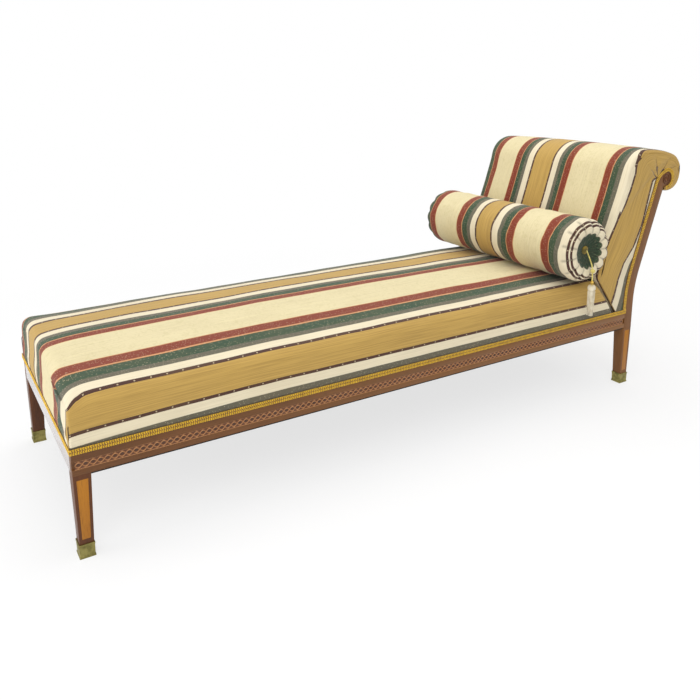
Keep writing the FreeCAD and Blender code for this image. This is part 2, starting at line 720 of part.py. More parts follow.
near_stile = single(near_stile.cut(near_dowels + [head_inlay, top_tenon]))
near_leg = near_leg.cut(foot_inlay)
near_rail = side_rail.cut([band_groove] + side_dowels)
head_rail = head_rail.cut(head_dowels + [mirror_y(d) for d in head_dowels])
foot_rail = box(0.0, RAIL_THICKNESS, RAIL_BOTTOM, RAIL_THICKNESS, FRAME_WIDTH - RAIL_THICKNESS, RAIL_TOP)

for name, shape in (
    ("side_rail", near_rail), ("carved_band", band), ("foot_leg", near_leg), ("head_stile", near_stile),
    ("sabot_foot", near_sabot_foot), ("sabot_head", near_sabot_head),
    ("inlay_foot", foot_inlay), ("inlay_head", head_inlay),
):
    nodes[name + "_near"] = shape
    nodes[name + "_far"] = mirror_y(shape)
nodes["foot_rail"] = foot_rail
nodes["head_rail"] = head_rail
nodes["frame_dowels"] = group(near_dowels + [mirror_y(d) for d in near_dowels])
nodes["back_top_rail"] = top_rail
nodes["back_lower_rail"] = lower_rail

for index in range(CROSS_RAIL_COUNT):
    x = STILE_FRONT * (index + 1) / (CROSS_RAIL_COUNT + 1)
    nodes["cross_rail_%d" % (index + 1)] = box(
        x - RAIL_THICKNESS / 2, RAIL_THICKNESS, RAIL_BOTTOM,
        x + RAIL_THICKNESS / 2, FRAME_WIDTH - RAIL_THICKNESS, RAIL_TOP - CROSS_RAIL_DROP)

# Corner blocks and their screws
block_low = RAIL_BOTTOM + BLOCK_MARGIN
block_height = RAIL_HEIGHT - 2.0 * BLOCK_MARGIN
t = RAIL_THICKNESS
reach = BLOCK_REACH
foot_block = prism([(t, LEG_TOP, block_low), (LEG_TOP, LEG_TOP, block_low), (LEG_TOP, t, block_low),
                    (t + reach, t, block_low), (t, t + reach, block_low)], (0, 0, block_height))
head_block = prism([(STILE_FRONT - reach, t, block_low), (STILE_FRONT, t, block_low),
                    (STILE_FRONT, STILE_DEPTH, block_low), (head_rail_front, STILE_DEPTH, block_low),
                    (head_rail_front, STILE_DEPTH + reach - t, block_low)], (0, 0, block_height))
screw_z = RAIL_BOTTOM + RAIL_HEIGHT / 2.0
screw_near = t + reach * SCREW_PLACE_SHARE
screw_far = t + reach * (1.0 - SCREW_PLACE_SHARE)
foot_screws = [corner_screw(screw_far, screw_near, (0, -1, 0), screw_z),
               corner_screw(screw_near, screw_far, (-1, 0, 0), screw_z)]
foot_block = single(foot_block.cut(foot_screws))
nodes["side_rail_near"] = single(nodes["side_rail_near"].cut(foot_screws))
nodes["side_rail_far"] = mirror_y(nodes["side_rail_near"])
nodes["foot_rail"] = foot_rail.cut(foot_screws + [mirror_y(s) for s in foot_screws])
nodes["foot_block_near"] = foot_block
nodes["foot_block_far"] = mirror_y(foot_block)
nodes["head_block_near"] = head_block
nodes["head_block_far"] = mirror_y(head_block)
nodes["block_screws"] = group(foot_screws + [mirror_y(s) for s in foot_screws])

# Seat
outer_seat = seat_form(0.0, RAIL_TOP)
inner_seat = seat_form(COVER, RAIL_TOP - SEAT_SKIRT)
foot_side = seam_side(-SEAM_GAP / 2.0, True)
above_rail = box(-REACH, -REACH, RAIL_TOP, REACH, REACH, REACH)
seat_cover = single(outer_seat.cut(inner_seat).common(foot_side))
wall = SEAT_STUFFING_WALL
cavity_end = SEAM_TOP_X - wall * CAVITY_END_SHARE
cavity = box(wall, wall, 0.0, cavity_end, FRAME_WIDTH - wall, SPRING_TOP + HESSIAN)
seat_stuffing = single(inner_seat.common(above_rail).common(foot_side).cut(cavity))
hessian = box(wall, wall, SPRING_TOP, cavity_end, FRAME_WIDTH - wall, SPRING_TOP + HESSIAN)
nodes["seat_cover"] = seat_cover
nodes["seat_stuffing"] = seat_stuffing
nodes["seat_hessian"] = hessian

# Springs on the cross straps
spring, spring_gap = coil_spring()
print("spring coils: least gap between turns %.2f mm" % spring_gap)
bay_ends = [wall] + [STILE_FRONT * (i + 1) / (CROSS_RAIL_COUNT + 1) for i in range(CROSS_RAIL_COUNT)]
bay_ends = bay_ends + [cavity_end]
strap_places = []
for bay, (bay_start, bay_end) in enumerate(zip(bay_ends, bay_ends[1:]), 1):
    coils = []
    columns = int((bay_end - bay_start) / SPRING_PITCH)
    half_step = (bay_end - bay_start) / (2.0 * columns)
    strap_places += [bay_start + half_step * half for half in range(1, 2 * columns)]
    for column in range(columns):
        for row in range(SPRING_ROWS):
            x = bay_start + (bay_end - bay_start) * (column + 0.5) / columns
            y = MID_Y + (row - (SPRING_ROWS - 1) / 2.0) * SPRING_ROW_STEP
            coil = spring.copy()
            coil.translate(V(x, y, RAIL_BOTTOM))
            coils.append(coil)
    nodes["seat_springs_%d" % bay] = group(coils)

# Webbing and dust cover under the frame
cross_z = RAIL_BOTTOM - STRAP_THICKNESS
margin = STRAP_END_MARGIN
half_strap = STRAP_WIDTH / 2.0
cross_straps = [box(x - half_strap, margin, cross_z, x + half_strap, FRAME_WIDTH - margin, RAIL_BOTTOM)
                for x in strap_places]
nodes["webbing_cross"] = group(cross_straps)
long_straps = []
long_end = FRAME_LENGTH - 2.0 * margin
long_first = LEG_TOP + LONG_STRAP_CLEAR
long_last = FRAME_WIDTH - long_first - STRAP_WIDTH
for index in range(LONG_STRAP_COUNT):
    y = long_first + (long_last - long_first) * index / (LONG_STRAP_COUNT - 1)
    long_straps.append(box(margin, y, cross_z - STRAP_THICKNESS, long_end, y + STRAP_WIDTH, cross_z))
nodes["webbing_long"] = group(long_straps)
dust_top = cross_z - STRAP_THICKNESS
dust = box(DUST_MARGIN, DUST_MARGIN, dust_top - DUST_COVER,
           FRAME_LENGTH - DUST_MARGIN, FRAME_WIDTH - DUST_MARGIN, dust_top)
corner = LEG_TOP + DUST_LEG_CLEAR
notch = box(0.0, 0.0, 0.0, corner, corner, RAIL_BOTTOM)
head_notch = box(STILE_FRONT - DUST_LEG_CLEAR, 0.0, 0.0,
                 FRAME_LENGTH, STILE_DEPTH + DUST_LEG_CLEAR, RAIL_BOTTOM)
dust = dust.cut([notch, mirror_y(notch), head_notch, mirror_y(head_notch)])
nodes["dust_cover"] = dust

# Back
outer_back = back_form(0.0, 0.0)
inner_back = back_form(COVER, BACK_INNER_REACH)
head_side = seam_side(SEAM_GAP / 2.0, False)
whole_stiles = [head_stile(), mirror_y(head_stile())]
back_cover = outer_back.cut(inner_back).common(head_side)
back_cover = single(back_cover.cut(whole_stiles))
back_stuffing = outer_back.common(inner_back).common(head_side)
back_stuffing = single(back_stuffing.cut(whole_stiles + [nodes["back_top_rail"]]))
nodes["back_cover"] = back_cover
nodes["back_stuffing"] = back_stuffing

back_straps = []
span = FRAME_WIDTH - 2.0 * STILE_DEPTH
for index in range(BACK_STRAP_COUNT):
    y = STILE_DEPTH + span * (index + 0.5) / BACK_STRAP_COUNT - STRAP_WIDTH / 2.0
    strap = stile_band(y, y + STRAP_WIDTH, BACK_WEB_STEP, BACK_WEB_STEP + STRAP_THICKNESS,
                       RAIL_TOP + BACK_WEB_FOOT_CLEAR,
                       SCROLL_HEIGHT - TOP_RAIL_RADIUS - BACK_WEB_TOP_CLEAR)
    back_straps.append(strap)
nodes["back_webbing"] = group(back_straps)

panel_front = STILE_WIDTH - PANEL_SET_IN - PANEL_THICKNESS
outside = stile_band(STILE_DEPTH, FRAME_WIDTH - STILE_DEPTH, panel_front, STILE_WIDTH - PANEL_SET_IN,
                     RAIL_BOTTOM, ROLL_Z - ROLL_RADIUS - PANEL_TOP_CLEAR)
nodes["outside_back"] = outside.cut(nodes["head_rail"])

# Gimp braid
braid = GIMP_THICKNESS
gimp_top = RAIL_TOP + GIMP_WIDTH
side_gimp = box(0.0, -braid, RAIL_TOP, STILE_FRONT, 0.0, gimp_top)
nodes["gimp_side_near"] = side_gimp
nodes["gimp_side_far"] = mirror_y(side_gimp)
nodes["gimp_foot"] = box(-braid, -braid, RAIL_TOP, 0.0, FRAME_WIDTH + braid, gimp_top)
grown = stile_outline(-braid, 0.0, GIMP_WIDTH, SCROLL_GIMP_WIDTH, gimp_top)
wood = stile_outline(-2.0 * braid, braid, 0.0, 0.0, RAIL_BOTTOM)
run_up = single(grown.cut(wood))
nodes["stile_gimp_near"] = run_up
nodes["stile_gimp_far"] = mirror_y(run_up)

# Bolster
back_slope = math.radians(BACK_LEAN)
bolster_x = (SEAM_TOP_X + math.tan(back_slope) * BOLSTER_RADIUS
             - (BOLSTER_RADIUS + BOLSTER_BACK_CLEAR) / math.cos(back_slope))
near_axis = BOLSTER_RADIUS / 4.0
crown_slice = box(bolster_x - near_axis, MID_Y - near_axis, RAIL_TOP,
                  bolster_x + near_axis, MID_Y + near_axis, REACH)
crown_top = outer_seat.common(crown_slice).optimalBoundingBox().ZMax
bolster_z = crown_top + BOLSTER_RADIUS + BOLSTER_CLEAR
bolster_y = MID_Y + BOLSTER_SHIFT
bolster_at = V(bolster_x, bolster_y, bolster_z)
bolster_outer = bolster_profile(0.0)
bolster_inner = bolster_profile(COVER)
bolster_cover = bolster_outer.cut(bolster_inner)
bolster_core = bolster_inner
button_rim = BUTTON_RADIUS - BUTTON_CLEAR
rim_height = BUTTON_HEIGHT * BUTTON_RIM_SHARE
dome_rise = BUTTON_HEIGHT - rim_height
dome_radius = (button_rim ** 2 + dome_rise ** 2) / (2.0 * dome_rise)
button = Part.makeCylinder(button_rim, rim_height, V(0, 0, 0), V(0, -1, 0))
dome = Part.makeSphere(dome_radius, V(0, dome_radius - BUTTON_HEIGHT, 0))
button = button.fuse(dome.common(box(-REACH, -REACH, -REACH, REACH, -rim_height, REACH))).removeSplitter()
for name, shape in (("bolster_cover", bolster_cover), ("bolster_core", bolster_core)):
    shape = shape.copy()
    shape.translate(bolster_at)
    nodes[name] = single(shape)
button_near = button.copy()
button_near.translate(bolster_at + V(0, -(BOLSTER_LENGTH / 2.0 - FUNNEL_DEPTH), 0))
nodes["bolster_button_near"] = button_near
button_far = button.mirror(V(0, 0, 0), V(0, 1, 0))
button_far.translate(bolster_at + V(0, BOLSTER_LENGTH / 2.0 - FUNNEL_DEPTH, 0))
nodes["bolster_button_far"] = button_far
print("bolster axis x %.2f y %.2f z %.2f" % tuple(bolster_at))

# Tassel: a cord from the button over the mouth of the funnel, with its knot, bead, head and skirt
end_y = bolster_y - BOLSTER_LENGTH / 2.0
hang_y = end_y - TASSEL_OUT
button_face = button_near.optimalBoundingBox().YMin
cord_start = (bolster_x, button_face - CORD_CLEAR, bolster_z)
cord_points = [
    cord_start,
    (bolster_x, cord_start[1] - CORD_EXIT_OUT, bolster_z - CORD_EXIT_DROP),
    (bolster_x, hang_y, bolster_z - CORD_HANG_DROP),
    (bolster_x, hang_y, bolster_z - HEAD_TOP_DROP),
]
cord, cord_radii, cord_length = cord_tube(cord_points, CORD_DIAMETER)
print("tassel cord radii", ["%.1f" % r for r in cord_radii], "length %.1f" % cord_length)
print("tassel cord volume %.1f, section times length %.1f"
      % (cord.Volume, cord_length * math.pi * CORD_DIAMETER ** 2 / 4.0))


def turned(outline):
    """Solid turned round the tassel's upright axis from (radius, height) points."""
    points = [V(r, 0, z) for r, z in outline]
    edges = [Part.LineSegment(a, b).toShape() for a, b in zip(points, points[1:] + points[:1])]
    solid = Part.Face(Part.Wire(edges)).revolve(V(0, 0, 0), V(0, 0, 1), 360)
    solid.translate(V(bolster_x, hang_y, bolster_z))
    return solid


knot = Part.makeSphere(KNOT_RADIUS, V(bolster_x, hang_y, bolster_z - KNOT_DROP))
bead = Part.makeSphere(BEAD_RADIUS, V(bolster_x, hang_y, bolster_z - BEAD_DROP))
head_foot = -HEAD_TOP_DROP - HEAD_HEIGHT
head = turned([
    (0.0, -HEAD_TOP_DROP), (HEAD_RADIUS * HEAD_TOP_SHARE, -HEAD_TOP_DROP),
    (HEAD_RADIUS, -HEAD_TOP_DROP - HEAD_EDGE), (HEAD_RADIUS, head_foot + HEAD_EDGE),
    (SKIRT_TOP_RADIUS - SKIRT_NECK_IN, head_foot), (0.0, head_foot),
])
skirt = turned([
    (0.0, head_foot), (SKIRT_TOP_RADIUS - SKIRT_NECK_IN, head_foot),
    (SKIRT_TOP_RADIUS + SKIRT_SWELL, head_foot - SKIRT_SWELL_DROP),
    (SKIRT_FOOT_RADIUS, head_foot - SKIRT_LENGTH), (0.0, head_foot - SKIRT_LENGTH),
])
nodes["tassel_cord"] = cord
nodes["tassel_knot"] = single(knot.cut(cord))
nodes["tassel_bead"] = single(bead.cut(cord))
nodes["tassel_head"] = head
nodes["tassel_skirt"] = skirt

# The origin moves under the middle of everything that isn't on the cord
extents = [shape.optimalBoundingBox() for name, shape in nodes.items() if not name.startswith("tassel_")]
shift = V(-0.5 * (min(b.XMin for b in extents) + max(b.XMax for b in extents)),
          -0.5 * (min(b.YMin for b in extents) + max(b.YMax for b in extents)), 0.0)
print("origin shift x %.3f y %.3f" % (shift.x, shift.y))
print("pivot x %.3f y %.3f z %.3f" % tuple(V(*cord_start) + shift))
print("cord points", [tuple(round(c, 3) for c in V(*p) + shift) for p in cord_points])

os.makedirs("parts", exist_ok=True)
for name, shape in nodes.items():
    shape.translate(shift)
    b = shape.optimalBoundingBox()
    print("%-20s solids %2d valid %s volume %9.0f  x %8.1f %8.1f  y %7.1f %7.1f  z %6.1f %6.1f" % (
        name, len(shape.Solids), shape.isValid(), shape.Volume,
        b.XMin, b.XMax, b.YMin, b.YMax, b.ZMin, b.ZMax))
    shape.exportStep("parts/%s.step" % name)
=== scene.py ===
"""Dresses the recamier in its striped cloth, polished wood, brass and trimmings.

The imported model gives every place. Sizes are in millimetres unless a name says otherwise,
x and y are counted from the frame's near foot corner, and meshes are made in metres.
"""

import logging
import math
from contextlib import contextmanager
from dataclasses import dataclass
from enum import Enum
from typing import Callable, Iterator, Sequence

import bmesh
import bpy
from bpy.types import Material, Mesh, Node, NodeSocket, NodeTree, Object
from mathutils import Matrix, Vector, noise


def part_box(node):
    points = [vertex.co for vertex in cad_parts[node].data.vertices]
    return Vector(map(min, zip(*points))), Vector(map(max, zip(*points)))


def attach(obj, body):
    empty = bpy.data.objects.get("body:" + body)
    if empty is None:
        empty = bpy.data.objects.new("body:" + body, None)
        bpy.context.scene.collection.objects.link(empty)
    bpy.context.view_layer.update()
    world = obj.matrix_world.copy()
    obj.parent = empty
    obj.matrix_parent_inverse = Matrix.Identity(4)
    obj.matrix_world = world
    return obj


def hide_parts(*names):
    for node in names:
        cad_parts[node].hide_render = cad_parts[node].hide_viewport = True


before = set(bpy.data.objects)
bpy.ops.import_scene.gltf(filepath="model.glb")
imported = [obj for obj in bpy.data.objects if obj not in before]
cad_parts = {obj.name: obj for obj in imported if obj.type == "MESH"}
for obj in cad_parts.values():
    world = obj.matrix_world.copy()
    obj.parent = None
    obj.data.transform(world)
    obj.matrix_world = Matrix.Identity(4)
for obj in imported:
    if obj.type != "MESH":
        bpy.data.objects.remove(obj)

log = logging.getLogger("recamier")
MM = 0.001
CORNER = Vector(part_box("side_rail_near")[0])
FRAME_WIDTH = 665.0
# The covers begin at this height, behind the braid on the rails
COVER_LOW = 262.0
# The stripes of the back are placed by height up to its crest
BACK_CREST = 813.0
# Length of the cloth simulation that presses a cover out
SETTLE_FRAMES = 20
Point = tuple[float, float, float]
Flat = tuple[float, float]
Tone = tuple[int, int, int]


def place(x: float, y: float, z: float) -> Vector:
    """The point in metres that lies x, y from the frame's near foot corner and z above the floor."""
    return Vector((CORNER.x + x * MM, CORNER.y + y * MM, z * MM))


def clamp(value: float) -> float:
    """The value kept between 0 and 1."""
    return max(0.0, min(1.0, value))


def box_of(node: str) -> tuple[Vector, Vector]:
    """The low and the high corner of a node's box, in metres."""
    low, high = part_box(node)
    return Vector(low), Vector(high)


def blend_between(value: float, knots: Sequence[float], results: Sequence[float]) -> float:
    """Piecewise straight curve through knots, carried on straight past both ends.

    Args:
        value: Where the curve is read.
        knots: Rising places along the curve.
        results: The curve's height at each knot.

    Returns:
        The height at value.
    """
    last = len(knots) - 2
    index = 0
    while index < last and value > knots[index + 1]:
        index += 1
    share = (value - knots[index]) / (knots[index + 1] - knots[index])
    return results[index] + share * (results[index + 1] - results[index])


def arc_points(centre: Flat, radius: float, start: float, end: float, count: int) -> list[Flat]:
    """Points of an arc, angles in degrees, both ends included."""
    points = []
    for step in range(count + 1):
        angle = math.radians(start + (end - start) * step / count)
        points.append((centre[0] + radius * math.cos(angle), centre[1] + radius * math.sin(angle)))
    return points


def line_points(a: Flat, b: Flat, count: int) -> list[Flat]:
    """Evenly spaced points of a straight line, both ends included."""
    return [(a[0] + (b[0] - a[0]) * i / count, a[1] + (b[1] - a[1]) * i / count)
            for i in range(count + 1)]


def run_lengths(points: Sequence[Flat], start: float = 0.0) -> list[float]:
    """How far along the line through the points each of them lies, counted from start."""
    lengths = [start]
    for a, b in zip(points, points[1:]):
        lengths.append(lengths[-1] + math.hypot(b[0] - a[0], b[1] - a[1]))
    return lengths


class Axis(Enum):
    """The direction that the grain of a board runs in."""

    ALONG = (1.2, 14.0, 14.0)
    ACROSS = (14.0, 1.2, 14.0)
    UPRIGHT = (14.0, 14.0, 1.2)


class Sketch:
    """Adds nodes to one tree and links them."""

    def __init__(self, tree: NodeTree) -> None:
        """Keeps the tree that the nodes go into."""
        self.tree = tree

    def feed(self, node: Node, inputs: dict) -> Node:
        """Gives a node its inputs.

        Args:
            node: The node.
            inputs: Socket name or number to a value, or to the socket that feeds it.

        Returns:
            The same node.
        """
        for name, value in inputs.items():
            if isinstance(value, NodeSocket):
                self.tree.links.new(value, node.inputs[name])
            else:
                node.inputs[name].default_value = value
        return node

    def put(self, kind: str, inputs: dict | None = None, **settings: object) -> Node:
        """Adds one node.

        Args:
            kind: The node's type name.
            inputs: Its inputs, as for feed.
            settings: The node's own properties.

        Returns:
            The new node.
        """
        node = self.tree.nodes.new(kind)
        for name, value in settings.items():
            setattr(node, name, value)
        return self.feed(node, inputs or {})

    def effect(self, tree: NodeTree, **inputs: object) -> Node:
        """Places a shared effect with its own values."""
        named = {name.replace("_", " "): value for name, value in inputs.items()}
        return self.put("ShaderNodeGroup", named, node_tree=tree)

    def coords(self) -> NodeSocket:
        """The object's own coordinates."""
        return self.put("ShaderNodeTexCoord").outputs["Object"]

    def math(self, operation: str, *values: object) -> NodeSocket:
        """One arithmetic step; gives its output socket."""
        return self.put("ShaderNodeMath", dict(enumerate(values)), operation=operation).outputs[0]

    def vector(self, operation: str, inputs: dict) -> NodeSocket:
        """One step of vector arithmetic; gives its vector socket."""
        return self.put("ShaderNodeVectorMath", inputs, operation=operation).outputs[0]

    def xyz(self, x: object = 0.0, y: object = 0.0, z: object = 0.0) -> NodeSocket:
        """A vector made of three parts."""
        return self.put("ShaderNodeCombineXYZ", {0: x, 1: y, 2: z}).outputs[0]

    def split(self, vector: NodeSocket) -> Sequence[NodeSocket]:
        """The three parts of a vector."""
        return self.put("ShaderNodeSeparateXYZ", {0: vector}).outputs

    def mix(self, share: object, first: object, second: object, kind: str = "MIX") -> NodeSocket:
        """Mixes two colours; gives the mixed colour's socket."""
        return self.put("ShaderNodeMix", {0: share, 6: first, 7: second}, data_type="RGBA",
                        blend_type=kind).outputs[2]

    def cloud(self, vector: NodeSocket, scale: object, detail: float, **more: float) -> NodeSocket:
        """Noise; gives its value's socket."""
        return self.put("ShaderNodeTexNoise",
                        {"Vector": vector, "Scale": scale, "Detail": detail, **more}).outputs[0]

    def grade(self, value: NodeSocket, low: object, high: object, first: float = 0.0, last: float = 1.0,
              kind: str = "LINEAR") -> NodeSocket:
        """Maps the span from low to high to the span from first to last; gives the result's socket."""
        return self.put("ShaderNodeMapRange", {"Value": value, "From Min": low, "From Max": high,
                                               "To Min": first, "To Max": last},
                        interpolation_type=kind).outputs[0]

    def bump(self, height: NodeSocket, strength: float, distance: float) -> NodeSocket:
        """Relief for a shader; gives its normal's socket."""
        return self.put("ShaderNodeBump", {"Height": height, "Strength": strength,
                                           "Distance": distance}).outputs[0]

    def end_with_instances(self, inputs: dict, material: Material, weld: float = 0.0) -> None:
        """Ends a geometry tree: one instance on each point, made real, with its finish.

        Args:
            inputs: Points, Instance and perhaps Rotation.
            material: The finish.
            weld: Distance in metres below which points are joined, or 0.
        """
        shape = self.put("GeometryNodeInstanceOnPoints", inputs).outputs[0]
        shape = self.put("GeometryNodeRealizeInstances", {"Geometry": shape}).outputs[0]
        if weld:
            joined = self.put("GeometryNodeMergeByDistance", {"Geometry": shape, "Distance": weld})
            shape = joined.outputs[0]
        shape = self.put("GeometryNodeSetMaterial", {"Geometry": shape, "Material": material}).outputs[0]
        self.feed(self.leave, {"Geometry": shape})


def new_group(name: str, kind: str, inputs: dict[str, tuple[str, object]],
              outputs: dict[str, str]) -> Sketch:
    """Makes an empty node group with named sockets.

    Args:
        name: The group's name.
        kind: Shader or Geometry.
        inputs: Socket name to its type and default.
        outputs: Socket name to its type.

    Returns:
        A sketch of the group, with its input and output nodes as enter and leave.
    """
    tree = bpy.data.node_groups.new(name, kind + "NodeTree")
    for label, (socket_type, value) in inputs.items():
        socket = tree.interface.new_socket(label, in_out="INPUT", socket_type="NodeSocket" + socket_type)
        if value is not None:
            socket.default_value = value
    for label, socket_type in outputs.items():
        tree.interface.new_socket(label, in_out="OUTPUT", socket_type="NodeSocket" + socket_type)
    sketch = Sketch(tree)
    sketch.enter = tree.nodes.new("NodeGroupInput")
    sketch.leave = tree.nodes.new("NodeGroupOutput")
    return sketch


def geometry_group(name: str, inputs: dict[str, tuple[str, object]]) -> tuple[Sketch, Sequence[NodeSocket]]:
    """An empty geometry group with the given inputs; gives its sketch and the sockets of its inputs."""
    s = new_group(name, "Geometry", {"Geometry": ("Geometry", None), **inputs}, {"Geometry": "Geometry"})
    return s, s.enter.outputs


class Effects:
    """The shader effects that several finishes share, each built once."""

    def __init__(self) -> None:
        """Builds the weave, streak, grain and patina groups."""
        self.weave = self._weave()
        self.streak = self._streak()
        self.grain = self._grain()
        self.patina = self._patina()

    def _weave(self) -> NodeTree:
        """Plain weave of warp and weft threads."""
        s = new_group("weave", "Shader", {"Vector": ("Vector", None),
                                          "Threads per metre": ("Float", 600.0)}, {"Height": "Float"})
        turns = s.math("MULTIPLY", s.enter.outputs["Threads per metre"], math.pi)
        parts = s.split(s.enter.outputs["Vector"])
        warp, weft = (s.math("SINE", s.math("MULTIPLY", part, turns)) for part in parts[:2])
        s.feed(s.leave, {"Height": s.math("MULTIPLY", warp, weft)})
        return s.tree

    def _streak(self) -> NodeTree:
        """Uneven threads that run along the stripes."""
        s = new_group("streak", "Shader", {"Vector": ("Vector", None), "Along": ("Float", 3.0),
                                           "Across": ("Float", 160.0)}, {"Mask": "Float"})
        wanted = s.enter.outputs
        scale = s.xyz(wanted["Along"], wanted["Across"], 1.0)
        scaled = s.vector("MULTIPLY", {0: wanted["Vector"], 1: scale})
        s.feed(s.leave, {"Mask": s.cloud(scaled, 1.0, 3.0, Roughness=0.65)})
        return s.tree

    def _grain(self) -> NodeTree:
        """Straight grain with fine dark pores."""
        s = new_group("grain", "Shader", {"Vector": ("Vector", None), "Scale": ("Float", 1.0)},
                      {"Figure": "Float", "Pores": "Float"})
        scaled = s.vector("SCALE", {0: s.enter.outputs["Vector"], 3: s.enter.outputs["Scale"]})
        s.feed(s.leave, {"Figure": s.cloud(scaled, 2.4, 4.0, Distortion=0.6),
                         "Pores": s.cloud(scaled, 22.0, 2.0)})
        return s.tree

    def _patina(self) -> NodeTree:
        """Soft cloudy mask for age and handling."""
        s = new_group("patina", "Shader", {"Vector": ("Vector", None), "Size": ("Float", 14.0),
                                           "Low": ("Float", 0.35), "High": ("Float", 0.7)},
                      {"Mask": "Float"})
        wanted = s.enter.outputs
        cloud = s.cloud(wanted["Vector"], wanted["Size"], 5.0, Roughness=0.6)
        s.feed(s.leave, {"Mask": s.grade(cloud, wanted["Low"], wanted["High"], kind="SMOOTHSTEP")})
        return s.tree


EFFECTS = Effects()


def rgb(red: int, green: int, blue: int) -> tuple[float, float, float, float]:
    """Screen colour 0 to 255 as the linear colour that a shader takes."""
    def linear(value: float) -> float:
        """One channel."""
        share = value / 255.0
        return share / 12.92 if share <= 0.04045 else ((share + 0.055) / 1.055) ** 2.4

    return linear(red), linear(green), linear(blue), 1.0


def new_material(name: str) -> tuple[Material, Sketch, Node]:
    """An empty node material with its Principled shader."""
    material = bpy.data.materials.new(name)
    material.use_nodes = True
    return material, Sketch(material.node_tree), material.node_tree.nodes["Principled BSDF"]


@dataclass(frozen=True)
class WoodFinish:
    """French-polished wood whose grain follows the board."""

    name: str
    dark: Tone
    light: Tone
    axis: Axis = Axis.ALONG
    gloss: float = 0.42
    coat: float = 0.12
    head_tone: Tone | None = None

    def build(self) -> Material:
        """Makes the material."""
        material, s, shader = new_material(self.name)
        coords = s.coords()
        stretch = s.put("ShaderNodeMapping", {"Vector": coords, "Scale": self.axis.value})
        grain = s.effect(EFFECTS.grain, Vector=stretch.outputs[0], Scale=1.6).outputs
        wear = s.effect(EFFECTS.patina, Vector=coords, Size=9.0).outputs["Mask"]
        tone = s.mix(grain["Figure"], rgb(*self.dark), rgb(*self.light))
        pores = s.grade(grain["Pores"], 0.30, 0.48, 0.72)
        tone = s.mix(1.0, tone, s.xyz(pores, pores, pores), "MULTIPLY")
        tone = s.mix(s.math("MULTIPLY", wear, 0.22), tone, rgb(*self.light))
        # Lighter towards the head end.
        if self.head_tone is not None:
            toward_head = s.grade(s.split(coords)[0], -0.9, 0.9, 0.0, 0.75)
            tone = s.mix(toward_head, tone, s.mix(0.35, rgb(*self.head_tone), tone))
        s.feed(shader, {"Base Color": tone, "Specular IOR Level": 0.3,
                        "Roughness": s.math("MULTIPLY_ADD", wear, 0.14, self.gloss),
                        "Coat Weight": self.coat, "Coat Roughness": 0.18,
                        "Normal": s.bump(grain["Pores"], 0.08, 0.0004)})
        return material


@dataclass(frozen=True)
class CarvedFinish:
    """Polished wood that is darker where the carving is deeper."""

    name: str = "carved_walnut"
    light: Tone = (222, 166, 106)
    middle: Tone = (130, 76, 34)
    deepest: Tone = (30, 14, 6)

    def build(self) -> Material:
        """Makes the material; the mesh's hollow attribute says how deep each point lies, and deeper is darker.
        """
        material, s, shader = new_material(self.name)
        coords = s.coords()
        stretch = s.put("ShaderNodeMapping", {"Vector": coords, "Scale": Axis.ALONG.value})
        grain = s.effect(EFFECTS.grain, Vector=stretch.outputs[0], Scale=2.0).outputs
        hollow = s.put("ShaderNodeAttribute", attribute_name="hollow").outputs["Fac"]
        ramp = s.put("ShaderNodeValToRGB", {0: hollow})
        ramp.color_ramp.elements[0].color = rgb(*self.light)
        ramp.color_ramp.elements[1].color = rgb(*self.deepest)
        ramp.color_ramp.elements[1].position = 0.8
        ramp.color_ramp.elements.new(0.3).color = rgb(*self.middle)
        tone = s.mix(s.math("MULTIPLY", grain["Figure"], 0.5), ramp.outputs[0], rgb(*self.middle))
        wear = s.effect(EFFECTS.patina, Vector=coords, Size=20.0).outputs["Mask"]
        s.feed(shader, {"Base Color": tone, "Roughness": s.math("MULTIPLY_ADD", wear, 0.2, 0.38)})
        return material


@dataclass(frozen=True)
class MetalFinish:
    """Metal with soft clouds of age and wear in its colour, roughness and relief."""

    name: str
    clean: Tone
    aged: Tone
    rough: float = 0.32

    def build(self) -> Material:
        """Makes the material."""
        material, s, shader = new_material(self.name)
        age = s.effect(EFFECTS.patina, Vector=s.coords(), Size=60.0).outputs["Mask"]
        s.feed(shader, {"Base Color": s.mix(age, rgb(*self.clean), rgb(*self.aged)), "Metallic": 0.9,
                        "Roughness": s.math("MULTIPLY_ADD", age, 0.25, self.rough),
                        "Normal": s.bump(age, 0.15, 0.0005)})
        return material


@dataclass(frozen=True)
class PlainClothFinish:
    """One-colour cloth, felt or fibre with a visible weave."""

    name: str
    light: Tone
    dark: Tone
    threads: float = 500.0

    def build(self) -> Material:
        """Makes the material."""
        material, s, shader = new_material(self.name)
        coords = s.coords()
        weave = s.effect(EFFECTS.weave, Vector=coords, Threads_per_metre=self.threads).outputs[0]
        wear = s.effect(EFFECTS.patina, Vector=coords, Size=30.0).outputs["Mask"]
        s.feed(shader, {"Base Color": s.mix(wear, rgb(*self.dark), rgb(*self.light)), "Roughness": 0.88,
                        "Sheen Weight": 0.15, "Normal": s.bump(weave, 0.3, 0.0006)})
        return material


